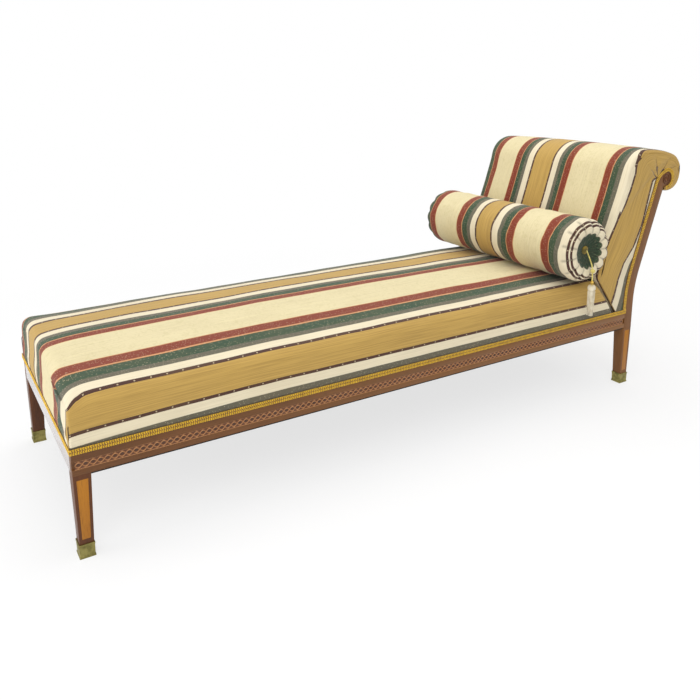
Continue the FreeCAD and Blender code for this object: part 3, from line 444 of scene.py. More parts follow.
@dataclass(frozen=True)
class ThreadFinish:
    """Twisted silk thread, as in braid, cord and tassel."""

    name: str
    light: Tone
    dark: Tone
    twist: float = 420.0

    def build(self) -> Material:
        """Makes the material; fine diagonal ridges show the twist."""
        material, s, shader = new_material(self.name)
        coords = s.coords()
        turned = s.put("ShaderNodeMapping", {"Vector": coords, "Rotation": (0.5, 0.6, 0.5)})
        ridge = s.put("ShaderNodeTexWave", {"Vector": turned.outputs[0], "Scale": self.twist,
                                            "Distortion": 1.5}).outputs["Fac"]
        wear = s.effect(EFFECTS.patina, Vector=coords, Size=80.0, Low=0.3, High=0.65).outputs["Mask"]
        share = s.math("MULTIPLY", s.math("ADD", ridge, wear), 0.5)
        s.feed(shader, {"Base Color": s.mix(share, rgb(*self.dark), rgb(*self.light)), "Roughness": 0.62,
                        "Sheen Weight": 0.2, "Normal": s.bump(ridge, 0.3, 0.0003)})
        return material


@dataclass(frozen=True)
class StripedClothFinish:
    """Woven stripes, read from the cloth coordinates of each piece.

    The stripes mirror about the middle of a mustard stripe and the middle of a cream one.
    Each bound is how far from the mustard middle a stripe begins, in millimetres of cloth.
    """

    name: str = "striped_cloth"
    half_repeat: float = 226.0
    mustard: Tone = (194, 158, 84)
    dark_line: Tone = (72, 46, 42)
    white: Tone = (232, 220, 190)
    grey: Tone = (96, 94, 80)
    green: Tone = (40, 70, 50)
    peach: Tone = (206, 146, 98)
    red: Tone = (126, 44, 26)
    cream: Tone = (224, 211, 168)
    mustard_shadow: Tone = (126, 96, 46)
    cream_figure: Tone = (176, 164, 96)
    pick: Tone = (226, 208, 170)
    age: Tone = (150, 128, 84)
    # Colour of the painted shade in folds
    fold_shadow: Tone = (26, 26, 20)

    def bounds(self) -> list[tuple[float, Tone]]:
        """Where each stripe begins, with its colour."""
        return [(0.0, self.mustard), (38.5, self.dark_line), (47.5, self.white), (77.5, self.grey),
                (97.0, self.green), (122.0, self.peach), (126.0, self.red), (156.5, self.peach),
                (159.5, self.cream)]

    def build(self) -> Material:
        """Makes the material."""
        material, s, shader = new_material(self.name)
        cloth = s.put("ShaderNodeUVMap", uv_map="cloth").outputs[0]
        along, across = s.split(cloth)[:2]
        drift = s.math("MULTIPLY", s.math("SUBTRACT", s.cloud(cloth, 9.0, 1.0), 0.5), 2.2)
        place_mm = s.math("PINGPONG", s.math("ADD", s.math("MULTIPLY", across, 1000.0), drift),
                          self.half_repeat)
        ramp = s.put("ShaderNodeValToRGB", {0: s.math("DIVIDE", place_mm, self.half_repeat)})
        ramp.color_ramp.interpolation = "CONSTANT"
        elements = ramp.color_ramp.elements
        stops = self.bounds()
        elements[0].color = rgb(*stops[0][1])
        elements.remove(elements[1])
        for start, colour in stops[1:]:
            elements.new(start / self.half_repeat).color = rgb(*colour)
        # Uneven threads darken the mustard most, and the cream least.
        streak = s.effect(EFFECTS.streak, Vector=cloth, Along=5.0, Across=330.0).outputs[0]
        depth = s.math("MULTIPLY_ADD", s.math("LESS_THAN", place_mm, stops[1][0]), 0.26, 0.14)
        lines = s.grade(streak, 0.36, 0.58, 1.0, 0.0)
        tone = s.mix(s.math("MULTIPLY", lines, depth), ramp.outputs[0], rgb(*self.mustard_shadow))
        # A small figure woven into the cream.
        spots = s.grade(s.cloud(cloth, 70.0, 2.0, Distortion=1.6), 0.52, 0.62, 0.0, 0.16)
        on_cream = s.math("GREATER_THAN", place_mm, 160.0)
        tone = s.mix(s.math("MULTIPLY", spots, on_cream), tone, rgb(*self.cream_figure))
        # Pale pick stitches along the dark lines, and scattered in the red and the green.
        beat = s.math("FRACT", s.math("MULTIPLY", along, 26.0))
        on_line = s.math("COMPARE", place_mm, 43.0, 1.6)
        picks = s.math("MULTIPLY", s.math("LESS_THAN", beat, 0.09), on_line)
        cells = s.put("ShaderNodeTexVoronoi", {"Vector": cloth, "Scale": 210.0}).outputs["Distance"]
        on_bands = s.math("COMPARE", place_mm, 118.0, 38.0)
        specks = s.math("MULTIPLY", s.math("LESS_THAN", cells, 0.22), on_bands)
        pale = s.math("MULTIPLY", s.math("MAXIMUM", picks, s.math("MULTIPLY", specks, 0.6)), 0.6)
        tone = s.mix(pale, tone, rgb(*self.pick))
        wear = s.effect(EFFECTS.patina, Vector=cloth, Size=6.0, Low=0.3, High=0.75).outputs[0]
        tone = s.mix(s.math("MULTIPLY", wear, 0.08), tone, rgb(*self.age))
        # Painted shade in the hollows and pleats of the bolster's gathered ends, where the mesh's shade
        # attribute is set.
        shade = s.put("ShaderNodeAttribute", attribute_name="shade").outputs["Fac"]
        tone = s.mix(s.math("MULTIPLY", shade, 0.8), tone, rgb(*self.fold_shadow))
        weave = s.effect(EFFECTS.weave, Vector=cloth, Threads_per_metre=700.0).outputs[0]
        height = s.math("ADD", s.math("MULTIPLY", weave, 0.5), s.math("MULTIPLY", streak, 1.2))
        s.feed(shader, {"Base Color": tone, "Roughness": 0.86, "Sheen Weight": 0.12,
                        "Specular IOR Level": 0.3, "Normal": s.bump(height, 0.35, 0.0008)})
        return material


def new_object(name: str, data: bpy.types.ID) -> Object:
    """Puts a mesh, curve, lamp or camera in the scene."""
    piece = bpy.data.objects.new(name, data)
    bpy.context.scene.collection.objects.link(piece)
    return piece


def plain_mesh(piece: Object) -> Mesh:
    """The piece's mesh with its modifiers applied."""
    return bpy.data.meshes.new_from_object(piece.evaluated_get(bpy.context.evaluated_depsgraph_get()))


@contextmanager
def editing(mesh: Mesh) -> Iterator[bmesh.types.BMesh]:
    """Opens a mesh for editing and writes it back at the end."""
    work = bmesh.new()
    work.from_mesh(mesh)
    yield work
    work.to_mesh(mesh)
    work.free()


class Patchwork:
    """Collects grids of points into one mesh that carries cloth coordinates."""

    # Points closer than this, in metres, are joined
    weld = 0.00005

    def __init__(self) -> None:
        """Starts with no patches."""
        self.points: list[Vector] = []
        self.faces: list[list[int]] = []
        self.cloth: list[Flat] = []

    def patch(self, rows: Sequence[Sequence[Vector]], cloth: Sequence[Sequence[Flat]],
              loop: bool = False) -> None:
        """Adds one grid.

        Args:
            rows: Rows of points, all of one length.
            cloth: For each point, its place along and across the stripes in millimetres. With loop,
                each row has one more entry than points.
            loop: True if each row closes on itself.
        """
        width = len(rows[0])
        base = len(self.points)
        for row in rows:
            self.points.extend(row)
        for i in range(len(rows) - 1):
            for j in range(width if loop else width - 1):
                corners = ((i, j), (i, j + 1), (i + 1, j + 1), (i + 1, j))
                self.faces.append([base + a * width + b % width for a, b in corners])
                self.cloth.extend((cloth[a][b][0] * MM, cloth[a][b][1] * MM) for a, b in corners)

    def bridge(self, first: Sequence[Vector], second: Sequence[Vector]) -> None:
        """Closes the cover between two lines of points where nobody sees it."""
        self.patch([first, second], [[(0.0, 0.0)] * len(first)] * 2)

    def build(self, name: str, material: Material) -> Object:
        """Makes the object.

        Args:
            name: The piece's name.
            material: Its finish.

        Returns:
            The object, in the scene and at the origin.
        """
        mesh = bpy.data.meshes.new(name)
        mesh.from_pydata(self.points, [], self.faces)
        layer = mesh.uv_layers.new(name="cloth")
        for index, value in enumerate(self.cloth):
            layer.data[index].uv = value
        with editing(mesh) as work:
            bmesh.ops.remove_doubles(work, verts=work.verts, dist=self.weld)
            bmesh.ops.recalc_face_normals(work, faces=work.faces)
        mesh.shade_smooth()
        return mesh_object(name, mesh, material)


def settle(piece: Object, held: Callable[[Vector], float], cap: float, pressure: float = 4.0) -> None:
    """Lets the stuffing press the cover out, as cloth under a soft pressure.

    Args:
        piece: The cover, a closed mesh.
        held: For a point in metres, 1 where the cover is nailed or sewn down and 0 where it is free.
        cap: How far a point may move, in millimetres.
        pressure: The pressure of the stuffing.
    """
    group = piece.vertex_groups.new(name="held")
    start = [v.co.copy() for v in piece.data.vertices]
    for index, point in enumerate(start):
        group.add([index], held(point), "REPLACE")
    cloth = piece.modifiers.new("cloth", "CLOTH")
    wanted = {"quality": 4, "mass": 0.25, "tension_stiffness": 18.0, "compression_stiffness": 18.0,
              "bending_stiffness": 0.8, "use_pressure": True, "uniform_pressure_force": pressure,
              "vertex_group_mass": "held"}
    for name, value in wanted.items():
        setattr(cloth.settings, name, value)
    cloth.settings.effector_weights.gravity = 0.0
    cloth.collision_settings.use_collision = False
    scene = bpy.context.scene
    for number in range(1, SETTLE_FRAMES + 1):
        scene.frame_set(number)
    shape = piece.evaluated_get(bpy.context.evaluated_depsgraph_get()).to_mesh()
    moved = [v.co.copy() for v in shape.vertices]
    piece.modifiers.remove(cloth)
    scene.frame_set(1)
    limit = cap * MM
    for vertex, before, after in zip(piece.data.vertices, start, moved):
        step = after - before
        if step.length > limit:
            step *= limit / step.length
        vertex.co = before + step * (1.0 - held(before))
    piece.vertex_groups.clear()
    piece.data.update()


def apply_modifiers(piece: Object) -> None:
    """Turns the piece and its modifiers into a plain mesh."""
    shape = plain_mesh(piece)
    piece.modifiers.clear()
    piece.data = shape


def close_holes(piece: Object) -> None:
    """Closes the open edges that are left and turns every face outwards."""
    with editing(piece.data) as work:
        bmesh.ops.holes_fill(work, edges=[e for e in work.edges if e.is_boundary], sides=0)
        bmesh.ops.recalc_face_normals(work, faces=work.faces)


def smooth_once(piece: Object) -> None:
    """Adds one level of subdivision, applies it and closes the piece."""
    finer = piece.modifiers.new("finer", "SUBSURF")
    finer.levels = 1
    finer.render_levels = 1
    finer.uv_smooth = "NONE"
    apply_modifiers(piece)
    close_holes(piece)
    piece.data.shade_smooth()


def cad_copy(node: str, name: str, material: Material, bevel: float = 0.8,
             angle: float = 28.0) -> Object:
    """A copy of a node's mesh with softened edges, which replaces the node.

    Args:
        node: The node's name.
        name: The new piece's name.
        material: Its finish.
        bevel: Width of the softened edge in millimetres.
        angle: Edges sharper than this many degrees are softened.

    Returns:
        The new piece.
    """
    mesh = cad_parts[node].data.copy()
    mesh.materials.clear()
    with editing(mesh) as work:
        bmesh.ops.remove_doubles(work, verts=work.verts, dist=0.00002)
        bmesh.ops.dissolve_limit(work, angle_limit=math.radians(0.6), verts=work.verts, edges=work.edges)
    piece = mesh_object(name, mesh, material)
    if bevel > 0.0:
        edge = piece.modifiers.new("edge", "BEVEL")
        edge.width = bevel * MM
        edge.segments = 2
        edge.limit_method = "ANGLE"
        edge.angle_limit = math.radians(angle)
        edge.use_clamp_overlap = True
        edge.harden_normals = True
        piece.data.shade_smooth()
        apply_modifiers(piece)
        piece.data.shade_smooth()
        piece.data.set_sharp_from_angle(angle=math.radians(angle + 6.0))
    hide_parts(node)
    return piece


def join_pieces(pieces: Sequence[Object], name: str) -> Object:
    """Joins meshes into the first one and names it."""
    work = bmesh.new()
    materials: list[Material] = []
    first = pieces[0]
    for piece in pieces:
        offsets = []
        for material in piece.data.materials:
            if material not in materials:
                materials.append(material)
            offsets.append(materials.index(material))
        seen = len(work.faces)
        work.from_mesh(piece.data)
        work.faces.ensure_lookup_table()
        for face in work.faces[seen:]:
            face.material_index = offsets[face.material_index] if offsets else 0
    mesh = bpy.data.meshes.new(name)
    work.to_mesh(mesh)
    work.free()
    for material in materials:
        mesh.materials.append(material)
    first.data = mesh
    first.name = name
    for piece in pieces[1:]:
        bpy.data.objects.remove(piece)
    return first


def run_nodes(name: str, base: Mesh, tree: NodeTree, values: dict[str, object]) -> Mesh:
    """Runs a geometry node tree on a mesh and gives the result as a plain mesh.

    Args:
        name: Name of the new mesh.
        base: The mesh that the tree starts from.
        tree: The node tree.
        values: Input name to value.

    Returns:
        The plain mesh, in metres.
    """
    carrier = new_object(name, base)
    modifier = carrier.modifiers.new("nodes", "NODES")
    modifier.node_group = tree
    for item in tree.interface.items_tree:
        if item.item_type == "SOCKET" and item.in_out == "INPUT" and item.name in values:
            modifier[item.identifier] = values[item.name]
    carrier.update_tag()
    bpy.context.view_layer.update()
    mesh = plain_mesh(carrier)
    mesh.name = name
    bpy.data.objects.remove(carrier)
    return mesh


def polyline(name: str, points: Sequence[Vector]) -> Mesh:
    """A mesh of edges through the points."""
    mesh = bpy.data.meshes.new(name)
    mesh.from_pydata(list(points), [(i, i + 1) for i in range(len(points) - 1)], [])
    return mesh


def mesh_object(name: str, mesh: Mesh, material: Material | None = None) -> Object:
    """Puts a mesh in the scene as a piece."""
    if material is not None and not mesh.materials:
        mesh.materials.append(material)
    return new_object(name, mesh)


class Finishes:
    """Every finish of the piece, built once."""

    def __init__(self) -> None:
        """Builds the materials."""
        self.stripes = StripedClothFinish().build()
        self.rail_wood = WoodFinish("walnut_rail", (78, 44, 14), (122, 76, 34),
                                    head_tone=(158, 112, 62)).build()
        # The foot rail's grey-white base colour is painted reflection of the bright surround on polished walnut.
        self.foot_wood_painted_reflection = WoodFinish("walnut_foot_rail_painted_reflection", (146, 134, 128), (200, 196, 196), Axis.ACROSS, 0.25,
                                    0.8).build()
        self.leg_wood = WoodFinish("walnut_leg", (62, 30, 8), (108, 60, 22), Axis.UPRIGHT).build()
        self.stile_wood = WoodFinish("walnut_stile", (92, 54, 18), (140, 92, 44), Axis.UPRIGHT).build()
        self.inlay = WoodFinish("satinwood_inlay", (148, 86, 6), (188, 124, 26), Axis.UPRIGHT, 0.4,
                                0.1).build()
        self.beech = WoodFinish("beech", (170, 132, 88), (206, 170, 122), Axis.ACROSS, 0.6, 0.0).build()
        self.carved = CarvedFinish().build()
        self.brass = MetalFinish("aged_brass", (150, 140, 84), (112, 106, 60), 0.4).build()
        self.bright_brass = MetalFinish("bright_brass", (224, 190, 96), (176, 140, 60), 0.22).build()
        self.steel = MetalFinish("spring_steel", (150, 150, 152), (84, 80, 78), 0.35).build()
        self.gimp = ThreadFinish("gold_gimp", (238, 196, 22), (196, 148, 10), 300.0).build()
        self.gimp_ground = ThreadFinish("gimp_ground", (150, 106, 14), (92, 62, 8), 300.0).build()
        self.ivory = ThreadFinish("ivory_thread", (244, 236, 214), (206, 192, 160)).build()
        self.cord = ThreadFinish("gold_cord", (236, 222, 130), (186, 164, 72)).build()
        self.seam = PlainClothFinish("seam_thread", (74, 50, 40), (44, 28, 22)).build()
        self.button = PlainClothFinish("button_cloth", (196, 160, 48), (90, 80, 30)).build()
        self.jute = PlainClothFinish("jute", (178, 148, 104), (138, 108, 70), 240.0).build()
        self.dust = PlainClothFinish("dust_cloth", (44, 42, 42), (30, 28, 28), 400.0).build()


@dataclass
class Studio:
    """Camera, lights, floor and white surround."""

    eye: Point = (-241.8, -1563.7, 1074.5)
    turn: float = 0.5424
    dip: float = 0.2230
    tilt: float = -0.0062
    focal_pixels: float = 737.3
    middle: Flat = (344.2, 237.7)
    picture: float = 700.0
    sensor: float = 36.0

    def build(self) -> None:
        """Makes the camera, the lamps, the world and the floor."""
        self.make_camera()
        self.make_lamp("key", (-1.6, -2.6, 3.2), 2.6, 62.0)
        self.make_lamp("top", (0.6, 0.4, 3.4), 3.2, 60.0)
        self.make_lamp("foot", (-3.4, 0.3, 0.75), 1.8, 34.0)
        self.make_world()
        self.make_floor()
        bpy.context.scene.view_settings.view_transform = "Standard"
        log.info("studio ready")

    def make_camera(self) -> None:
        """Puts the camera where the picture was taken from."""
        ahead = Vector((math.sin(self.turn) * math.cos(self.dip), math.cos(self.turn) * math.cos(self.dip),
                        -math.sin(self.dip)))
        right = Vector((math.cos(self.turn), -math.sin(self.turn), 0.0))
        up = right.cross(ahead)
        across = right * math.cos(self.tilt) + up * math.sin(self.tilt)
        upward = up * math.cos(self.tilt) - right * math.sin(self.tilt)
        data = bpy.data.cameras.new("view")
        data.sensor_width = self.sensor
        data.lens = self.focal_pixels / self.picture * self.sensor
        data.shift_x = (self.picture / 2.0 - self.middle[0]) / self.picture
        data.shift_y = (self.middle[1] - self.picture / 2.0) / self.picture
        camera = new_object("view", data)
        camera.matrix_world = Matrix.Translation(place(*self.eye)) @ Matrix(
            (across, upward, -ahead)).transposed().to_4x4()
        bpy.context.scene.camera = camera

    def make_lamp(self, name: str, spot: Point, size: float, power: float) -> None:
        """Adds a broad soft lamp that faces the seat's middle."""
        data = bpy.data.lights.new(name, "AREA")
        data.size = size
        data.energy = power
        lamp = new_object(name, data)
        lamp.location = spot
        lamp.rotation_euler = (Vector((0.0, 0.0, 0.35)) - Vector(spot)).to_track_quat("-Z", "Y").to_euler()

    def make_world(self) -> None:
        """Plain white surround for what the camera, gloss and glass see, and an even fill of light."""
        world = bpy.data.worlds.new("surround")
        world.use_nodes = True
        bpy.context.scene.world = world
        s = Sketch(world.node_tree)
        path = s.put("ShaderNodeLightPath")
        bent = s.math("MAXIMUM", path.outputs["Is Glossy Ray"], path.outputs["Is Transmission Ray"])
        seen = s.math("MAXIMUM", path.outputs["Is Camera Ray"], bent)
        s.feed(world.node_tree.nodes["Background"], {"Color": (1.0, 1.0, 1.0, 1.0),
                                                     "Strength": s.math("MULTIPLY_ADD", seen, 0.44, 0.56)})

    def make_floor(self) -> None:
        """A pale floor that keeps the shadow and turns to white away from the piece."""
        material, s, shader = new_material("pale_floor")
        s.feed(shader, {"Base Color": (0.93, 0.93, 0.93, 1.0), "Roughness": 0.95})
        distance = s.put("ShaderNodeVectorMath", {0: s.coords()}, operation="LENGTH").outputs["Value"]
        fade = s.grade(distance, 0.9, 2.4, 0.72, 1.0, "SMOOTHSTEP")
        path = s.put("ShaderNodeLightPath")
        seen = s.math("MAXIMUM", path.outputs["Is Camera Ray"], path.outputs["Is Glossy Ray"])
        white = s.put("ShaderNodeEmission", {"Color": (1.0, 1.0, 1.0, 1.0), "Strength": 1.0})
        mixed = s.put("ShaderNodeMixShader", {0: s.math("MULTIPLY", fade, seen), 1: shader.outputs[0],
                                              2: white.outputs[0]})
        s.feed(material.node_tree.nodes["Material Output"], {"Surface": mixed.outputs[0]})
        reach = 30
        mesh = bpy.data.meshes.new("floor")
        corners = [(x * reach, y * reach, 0) for x, y in ((-1, -1), (1, -1), (1, 1), (-1, 1))]
        mesh.from_pydata(corners, [], [(0, 1, 2, 3)])
        floor = mesh_object("floor", mesh, material)


@dataclass
class Tassel:
    """Cord, knot, bead, bound head and skirt of threads at the bolster's near end."""

    cord_diameter: float = 4.0
    cord_length: float = 115.4
    threads: int = 110
    windings: int = 9

    def build(self, finishes: Finishes) -> None:
        """Makes the five pieces on the cord."""
        low, high = box_of("tassel_cord")
        x = (low.x + high.x) / 2.0
        knot = self.centre("tassel_knot")
        start = Vector((x, CORNER.y + (-349.1 + 338.5) * MM, 0.510987))
        route = [start, Vector((x, start.y - 0.0175, start.z - 0.027)),
                 Vector((x, knot.y, start.z - 0.054)), Vector((x, knot.y, start.z - 0.108))]
        self.cord = self.make_cord(route, finishes)
        body = [self.make_knot(knot, finishes), self.make_bead(finishes), self.make_head(finishes),
                self.make_skirt(finishes)]
        for piece, node, slot in zip(body, ("tassel_knot", "tassel_bead", "tassel_head", "tassel_skirt"),
                                     ("tassel_thread", "brass", "tassel_thread", "tassel_thread")):
            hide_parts(node)
            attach(piece, "tassel")
        log.info("tassel: cord, knot, bead, head and skirt")

    def centre(self, node: str) -> Vector:
        """The middle of a node's box."""
        low, high = box_of(node)
        return (low + high) / 2.0

    def make_cord(self, route: Sequence[Vector], finishes: Finishes) -> Object:
        """One smooth curve through the route's control points."""
        curve = bpy.data.curves.new("tassel_cord_silk", "CURVE")
        curve.dimensions = "3D"
        curve.bevel_depth = self.cord_diameter / 2.0 * MM
        curve.bevel_resolution = 4
        curve.resolution_u = 12
        spline = curve.splines.new("NURBS")
        spline.points.add(len(route) - 1)
        for point, spot in zip(spline.points, route):
            point.co = (*spot, 1.0)
        spline.order_u = 3
        spline.use_endpoint_u = True
        curve.materials.append(finishes.cord)
        cord = new_object("tassel_cord_silk", curve)
        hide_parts("tassel_cord")
        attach(cord, "tassel")
        return cord

    def make_knot(self, centre: Vector, finishes: Finishes) -> Object:
        """Three crossing turns of cord pulled into a ball."""
        pieces = []
        for number in range(3):
            work = bmesh.new()
            turn = Matrix.Rotation(math.radians(60.0 * number + 15.0), 4, "Z") @ Matrix.Rotation(
                math.radians(58.0), 4, "X")
            self.add_ring(work, 0.0047, 0.0030, 20, 8)
            bmesh.ops.transform(work, matrix=Matrix.Translation(centre) @ turn, verts=work.verts)
            mesh = bpy.data.meshes.new("knot_turn")
            work.to_mesh(mesh)
            work.free()
            mesh.shade_smooth()
            pieces.append(mesh_object("knot_turn", mesh, finishes.cord))
        return join_pieces(pieces, "knot_turns")

    def add_ring(self, work: bmesh.types.BMesh, radius: float, wire: float, around: int,
                 sides: int) -> None:
        """Adds a ring of round section about the origin, in metres."""
        grid = []
        for i in range(around):
            a = 2.0 * math.pi * i / around
            row = []
            for j in range(sides):
                b = 2.0 * math.pi * j / sides
                out = radius + wire * math.cos(b)
                row.append(work.verts.new((out * math.cos(a), out * math.sin(a), wire * math.sin(b))))
            grid.append(row)
        for i in range(around):
            here, there = grid[i], grid[(i + 1) % around]
            for j in range(sides):
                k = (j + 1) % sides
                work.faces.new((here[j], there[j], there[k], here[k]))

    def turned(self, name: str, centre: Vector, outline: Sequence[Flat], material: Material,
               around: int = 32) -> Object:
        """A turned form from (radius, height) points in millimetres above the centre."""
        rows = [[centre + Vector((r * MM * math.cos(2 * math.pi * j / around),
                                  r * MM * math.sin(2 * math.pi * j / around), z * MM))
                 for j in range(around)] for r, z in outline]
        work = Patchwork()
        flat = [[(0.0, 0.0)] * (around + 1) for _ in rows]
        work.patch(rows, flat, loop=True)
        piece = work.build(name, material)
        close_holes(piece)
        return piece

    def make_bead(self, finishes: Finishes) -> Object:
        """A brass bead with a narrow collar above and below."""
        outline = [(2.1, 6.1), (3.1, 6.1), (3.3, 5.2), (3.0, 4.6)]
        outline += [(6.4 * math.cos(math.radians(a)), 6.4 * math.sin(math.radians(a)) * 0.82)
                    for a in range(58, -59, -12)]
        outline += [(3.0, -4.6), (3.3, -5.2), (3.1, -6.1), (2.1, -6.1)]
        return self.turned("tassel_bead_brass", self.centre("tassel_bead"), outline, finishes.bright_brass)

    def make_head(self, finishes: Finishes) -> Object:
        """The head, bound with round turns of thread."""
        low, high = box_of("tassel_head")
        centre = (low + high) / 2.0
        height = (high.z - low.z) / MM
        outline: list[Flat] = [(2.2, height / 2.0 - 0.2), (6.0, height / 2.0 - 0.4)]
        for turn in range(self.windings):
            middle = height / 2.0 - (turn + 0.5) * height / self.windings
            belly = 12.4 - 3.8 * (abs(turn + 0.5 - self.windings / 2.0) / (self.windings / 2.0)) ** 3
            for step in range(5):
                angle = math.radians(80.0 - 40.0 * step)
                outline.append((belly - 0.8 + math.cos(angle) * 1.0, middle + math.sin(angle) * 0.95))
        outline.append((8.0, -height / 2.0 + 0.1))
        outline.append((2.0, -height / 2.0 + 0.1))
        return self.turned("tassel_head_bound", centre, outline, finishes.ivory, 36)

    def make_skirt(self, finishes: Finishes) -> Object:
        """Hanging threads set round the foot of the head by a node tree."""
        low, high = box_of("tassel_skirt")
        centre = Vector(((low.x + high.x) / 2.0, (low.y + high.y) / 2.0, high.z))
        length = high.z - low.z
        s, wanted = geometry_group("thread_skirt", {
            "Threads": ("Int", self.threads), "Radius": ("Float", 0.0118), "Thickness": ("Float", 0.0011),
            "Length": ("Float", length), "Spread": ("Float", 0.05), "Seed": ("Int", 7)})
        ring = s.put("GeometryNodeMeshCircle", {"Vertices": wanted["Threads"], "Radius": wanted["Radius"]})
        thread = s.put("GeometryNodeMeshCylinder", {"Vertices": 5, "Side Segments": 5,
                                                    "Radius": wanted["Thickness"], "Depth": wanted["Length"]})
        down = s.xyz(z=s.math("MULTIPLY", wanted["Length"], -0.5))
        hung = s.put("GeometryNodeTransform", {"Geometry": thread.outputs["Mesh"], "Translation": down})
        nearer = s.put("FunctionNodeRandomValue", {"Min": 0.15, "Max": 1.0, "Seed": wanted["Seed"]},
                       data_type="FLOAT")
        where = s.put("GeometryNodeInputPosition").outputs[0]
        inside = s.vector("SCALE", {0: where, 3: nearer.outputs[1]})
        moved = s.put("GeometryNodeSetPosition", {"Geometry": ring.outputs[0], "Position": inside})
        parts = s.split(where)
        lean = s.xyz(s.math("MULTIPLY", parts[1], -7.0), s.math("MULTIPLY", parts[0], 7.0))
        shake = s.put("FunctionNodeRandomValue", {"Min": (-1.0, -1.0, 0.0), "Max": (1.0, 1.0, 0.0),
                                                  "Seed": wanted["Seed"]}, data_type="FLOAT_VECTOR")
        small = s.vector("SCALE", {0: shake.outputs[0], 3: wanted["Spread"]})
        s.end_with_instances({"Points": moved.outputs[0], "Instance": hung.outputs[0],
                              "Rotation": s.vector("ADD", {0: lean, 1: small})}, finishes.ivory)
        base = bpy.data.meshes.new("skirt_base")
        mesh = run_nodes("tassel_threads", base, s.tree, {"Threads": self.threads})
        mesh.transform(Matrix.Translation(centre))
        for vertex in mesh.vertices:
            depth = (centre.z - vertex.co.z) / length
            out = vertex.co - centre
            out.z = 0.0
            reach = out.length
            most = 0.0130 + 0.0036 * depth + 0.0014 * math.sin(math.pi * min(1.0, depth * 4.0))
            if reach > most:
                vertex.co -= out * ((reach - most) / reach)
            wave = noise.noise(Vector((vertex.co.x * 300.0, vertex.co.y * 300.0, depth * 4.0)))
            vertex.co.z += 0.0016 * wave * depth
        mesh.shade_smooth()
        return mesh_object("tassel_threads", mesh)


class BraidMaker:
    """Braid laid along a path by a node tree: slanted stitches between two edge cords."""

    def __init__(self, finishes: Finishes) -> None:
        """Builds the tree once.

        Args:
            finishes: Gives the thread's material.
        """
        s, wanted = geometry_group("braid", {"Pitch": ("Float", 0.0054), "Half width": ("Float", 0.0062),
                                             "Stitch": ("Float", 0.0014)})
        path = s.put("GeometryNodeMeshToCurve", {"Mesh": wanted["Geometry"]})
        spaced = s.put("GeometryNodeResampleCurve", {"Curve": path.outputs[0], "Length": wanted["Pitch"]},
                       mode="LENGTH")
        tangent = s.put("GeometryNodeInputTangent").outputs[0]
        turn = s.put("FunctionNodeAlignRotationToVector", {"Vector": tangent}, axis="X", pivot_axis="Y")
        joined = s.put("GeometryNodeJoinGeometry")
        # A slanted stitch, then a turn of the edge cord: segments, rings, place across, slant, size
        shapes = ((7, 5, 0.46, math.radians(52.0), (2.3, 0.9, 0.95)), (6, 4, 0.95, 0.0, (1.9, 0.9, 0.75)))
        for side in (-1.0, 1.0):
            for segments, rings, out, slant, size in shapes:
                ball = s.put("GeometryNodeMeshUVSphere", {"Segments": segments, "Rings": rings,
                                                          "Radius": wanted["Stitch"]})
                spot = s.xyz(z=s.math("MULTIPLY", wanted["Half width"], out * side))
                stitch = s.put("GeometryNodeTransform", {
                    "Geometry": ball.outputs["Mesh"], "Translation": spot,
                    "Rotation": (0.0, slant * side, 0.0), "Scale": size})
                s.tree.links.new(stitch.outputs[0], joined.inputs[0])
        s.end_with_instances({"Points": spaced.outputs[0], "Instance": joined.outputs[0],
                              "Rotation": turn.outputs[0]}, finishes.gimp)
        self.tree = s.tree
        self.finishes = finishes

    def lay(self, node: str, name: str, path: Sequence[Flat], placing: Matrix,
            half_width: float = 6.2) -> None:
        """Lays braid over one node's strip and replaces the node.

        Args:
            node: The gimp node.
            name: The piece's name.
            path: The braid's middle line as (x, z) in metres, in the plane y = 0.
            placing: Moves the braid from that plane to its place.
            half_width: Half of the braid's width in millimetres.
        """
        base = polyline(name, [Vector((x, 0.0, z)) for x, z in path])
        mesh = run_nodes(name, base, self.tree, {"Half width": half_width * MM})
        mesh.transform(placing)
        mesh.shade_smooth()
        strip = cad_copy(node, name + "_strip", self.finishes.gimp_ground, 0.4)
        stitches = mesh_object(name + "_stitches", mesh)
        piece = join_pieces([strip, stitches], name)
        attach(piece, "frame")


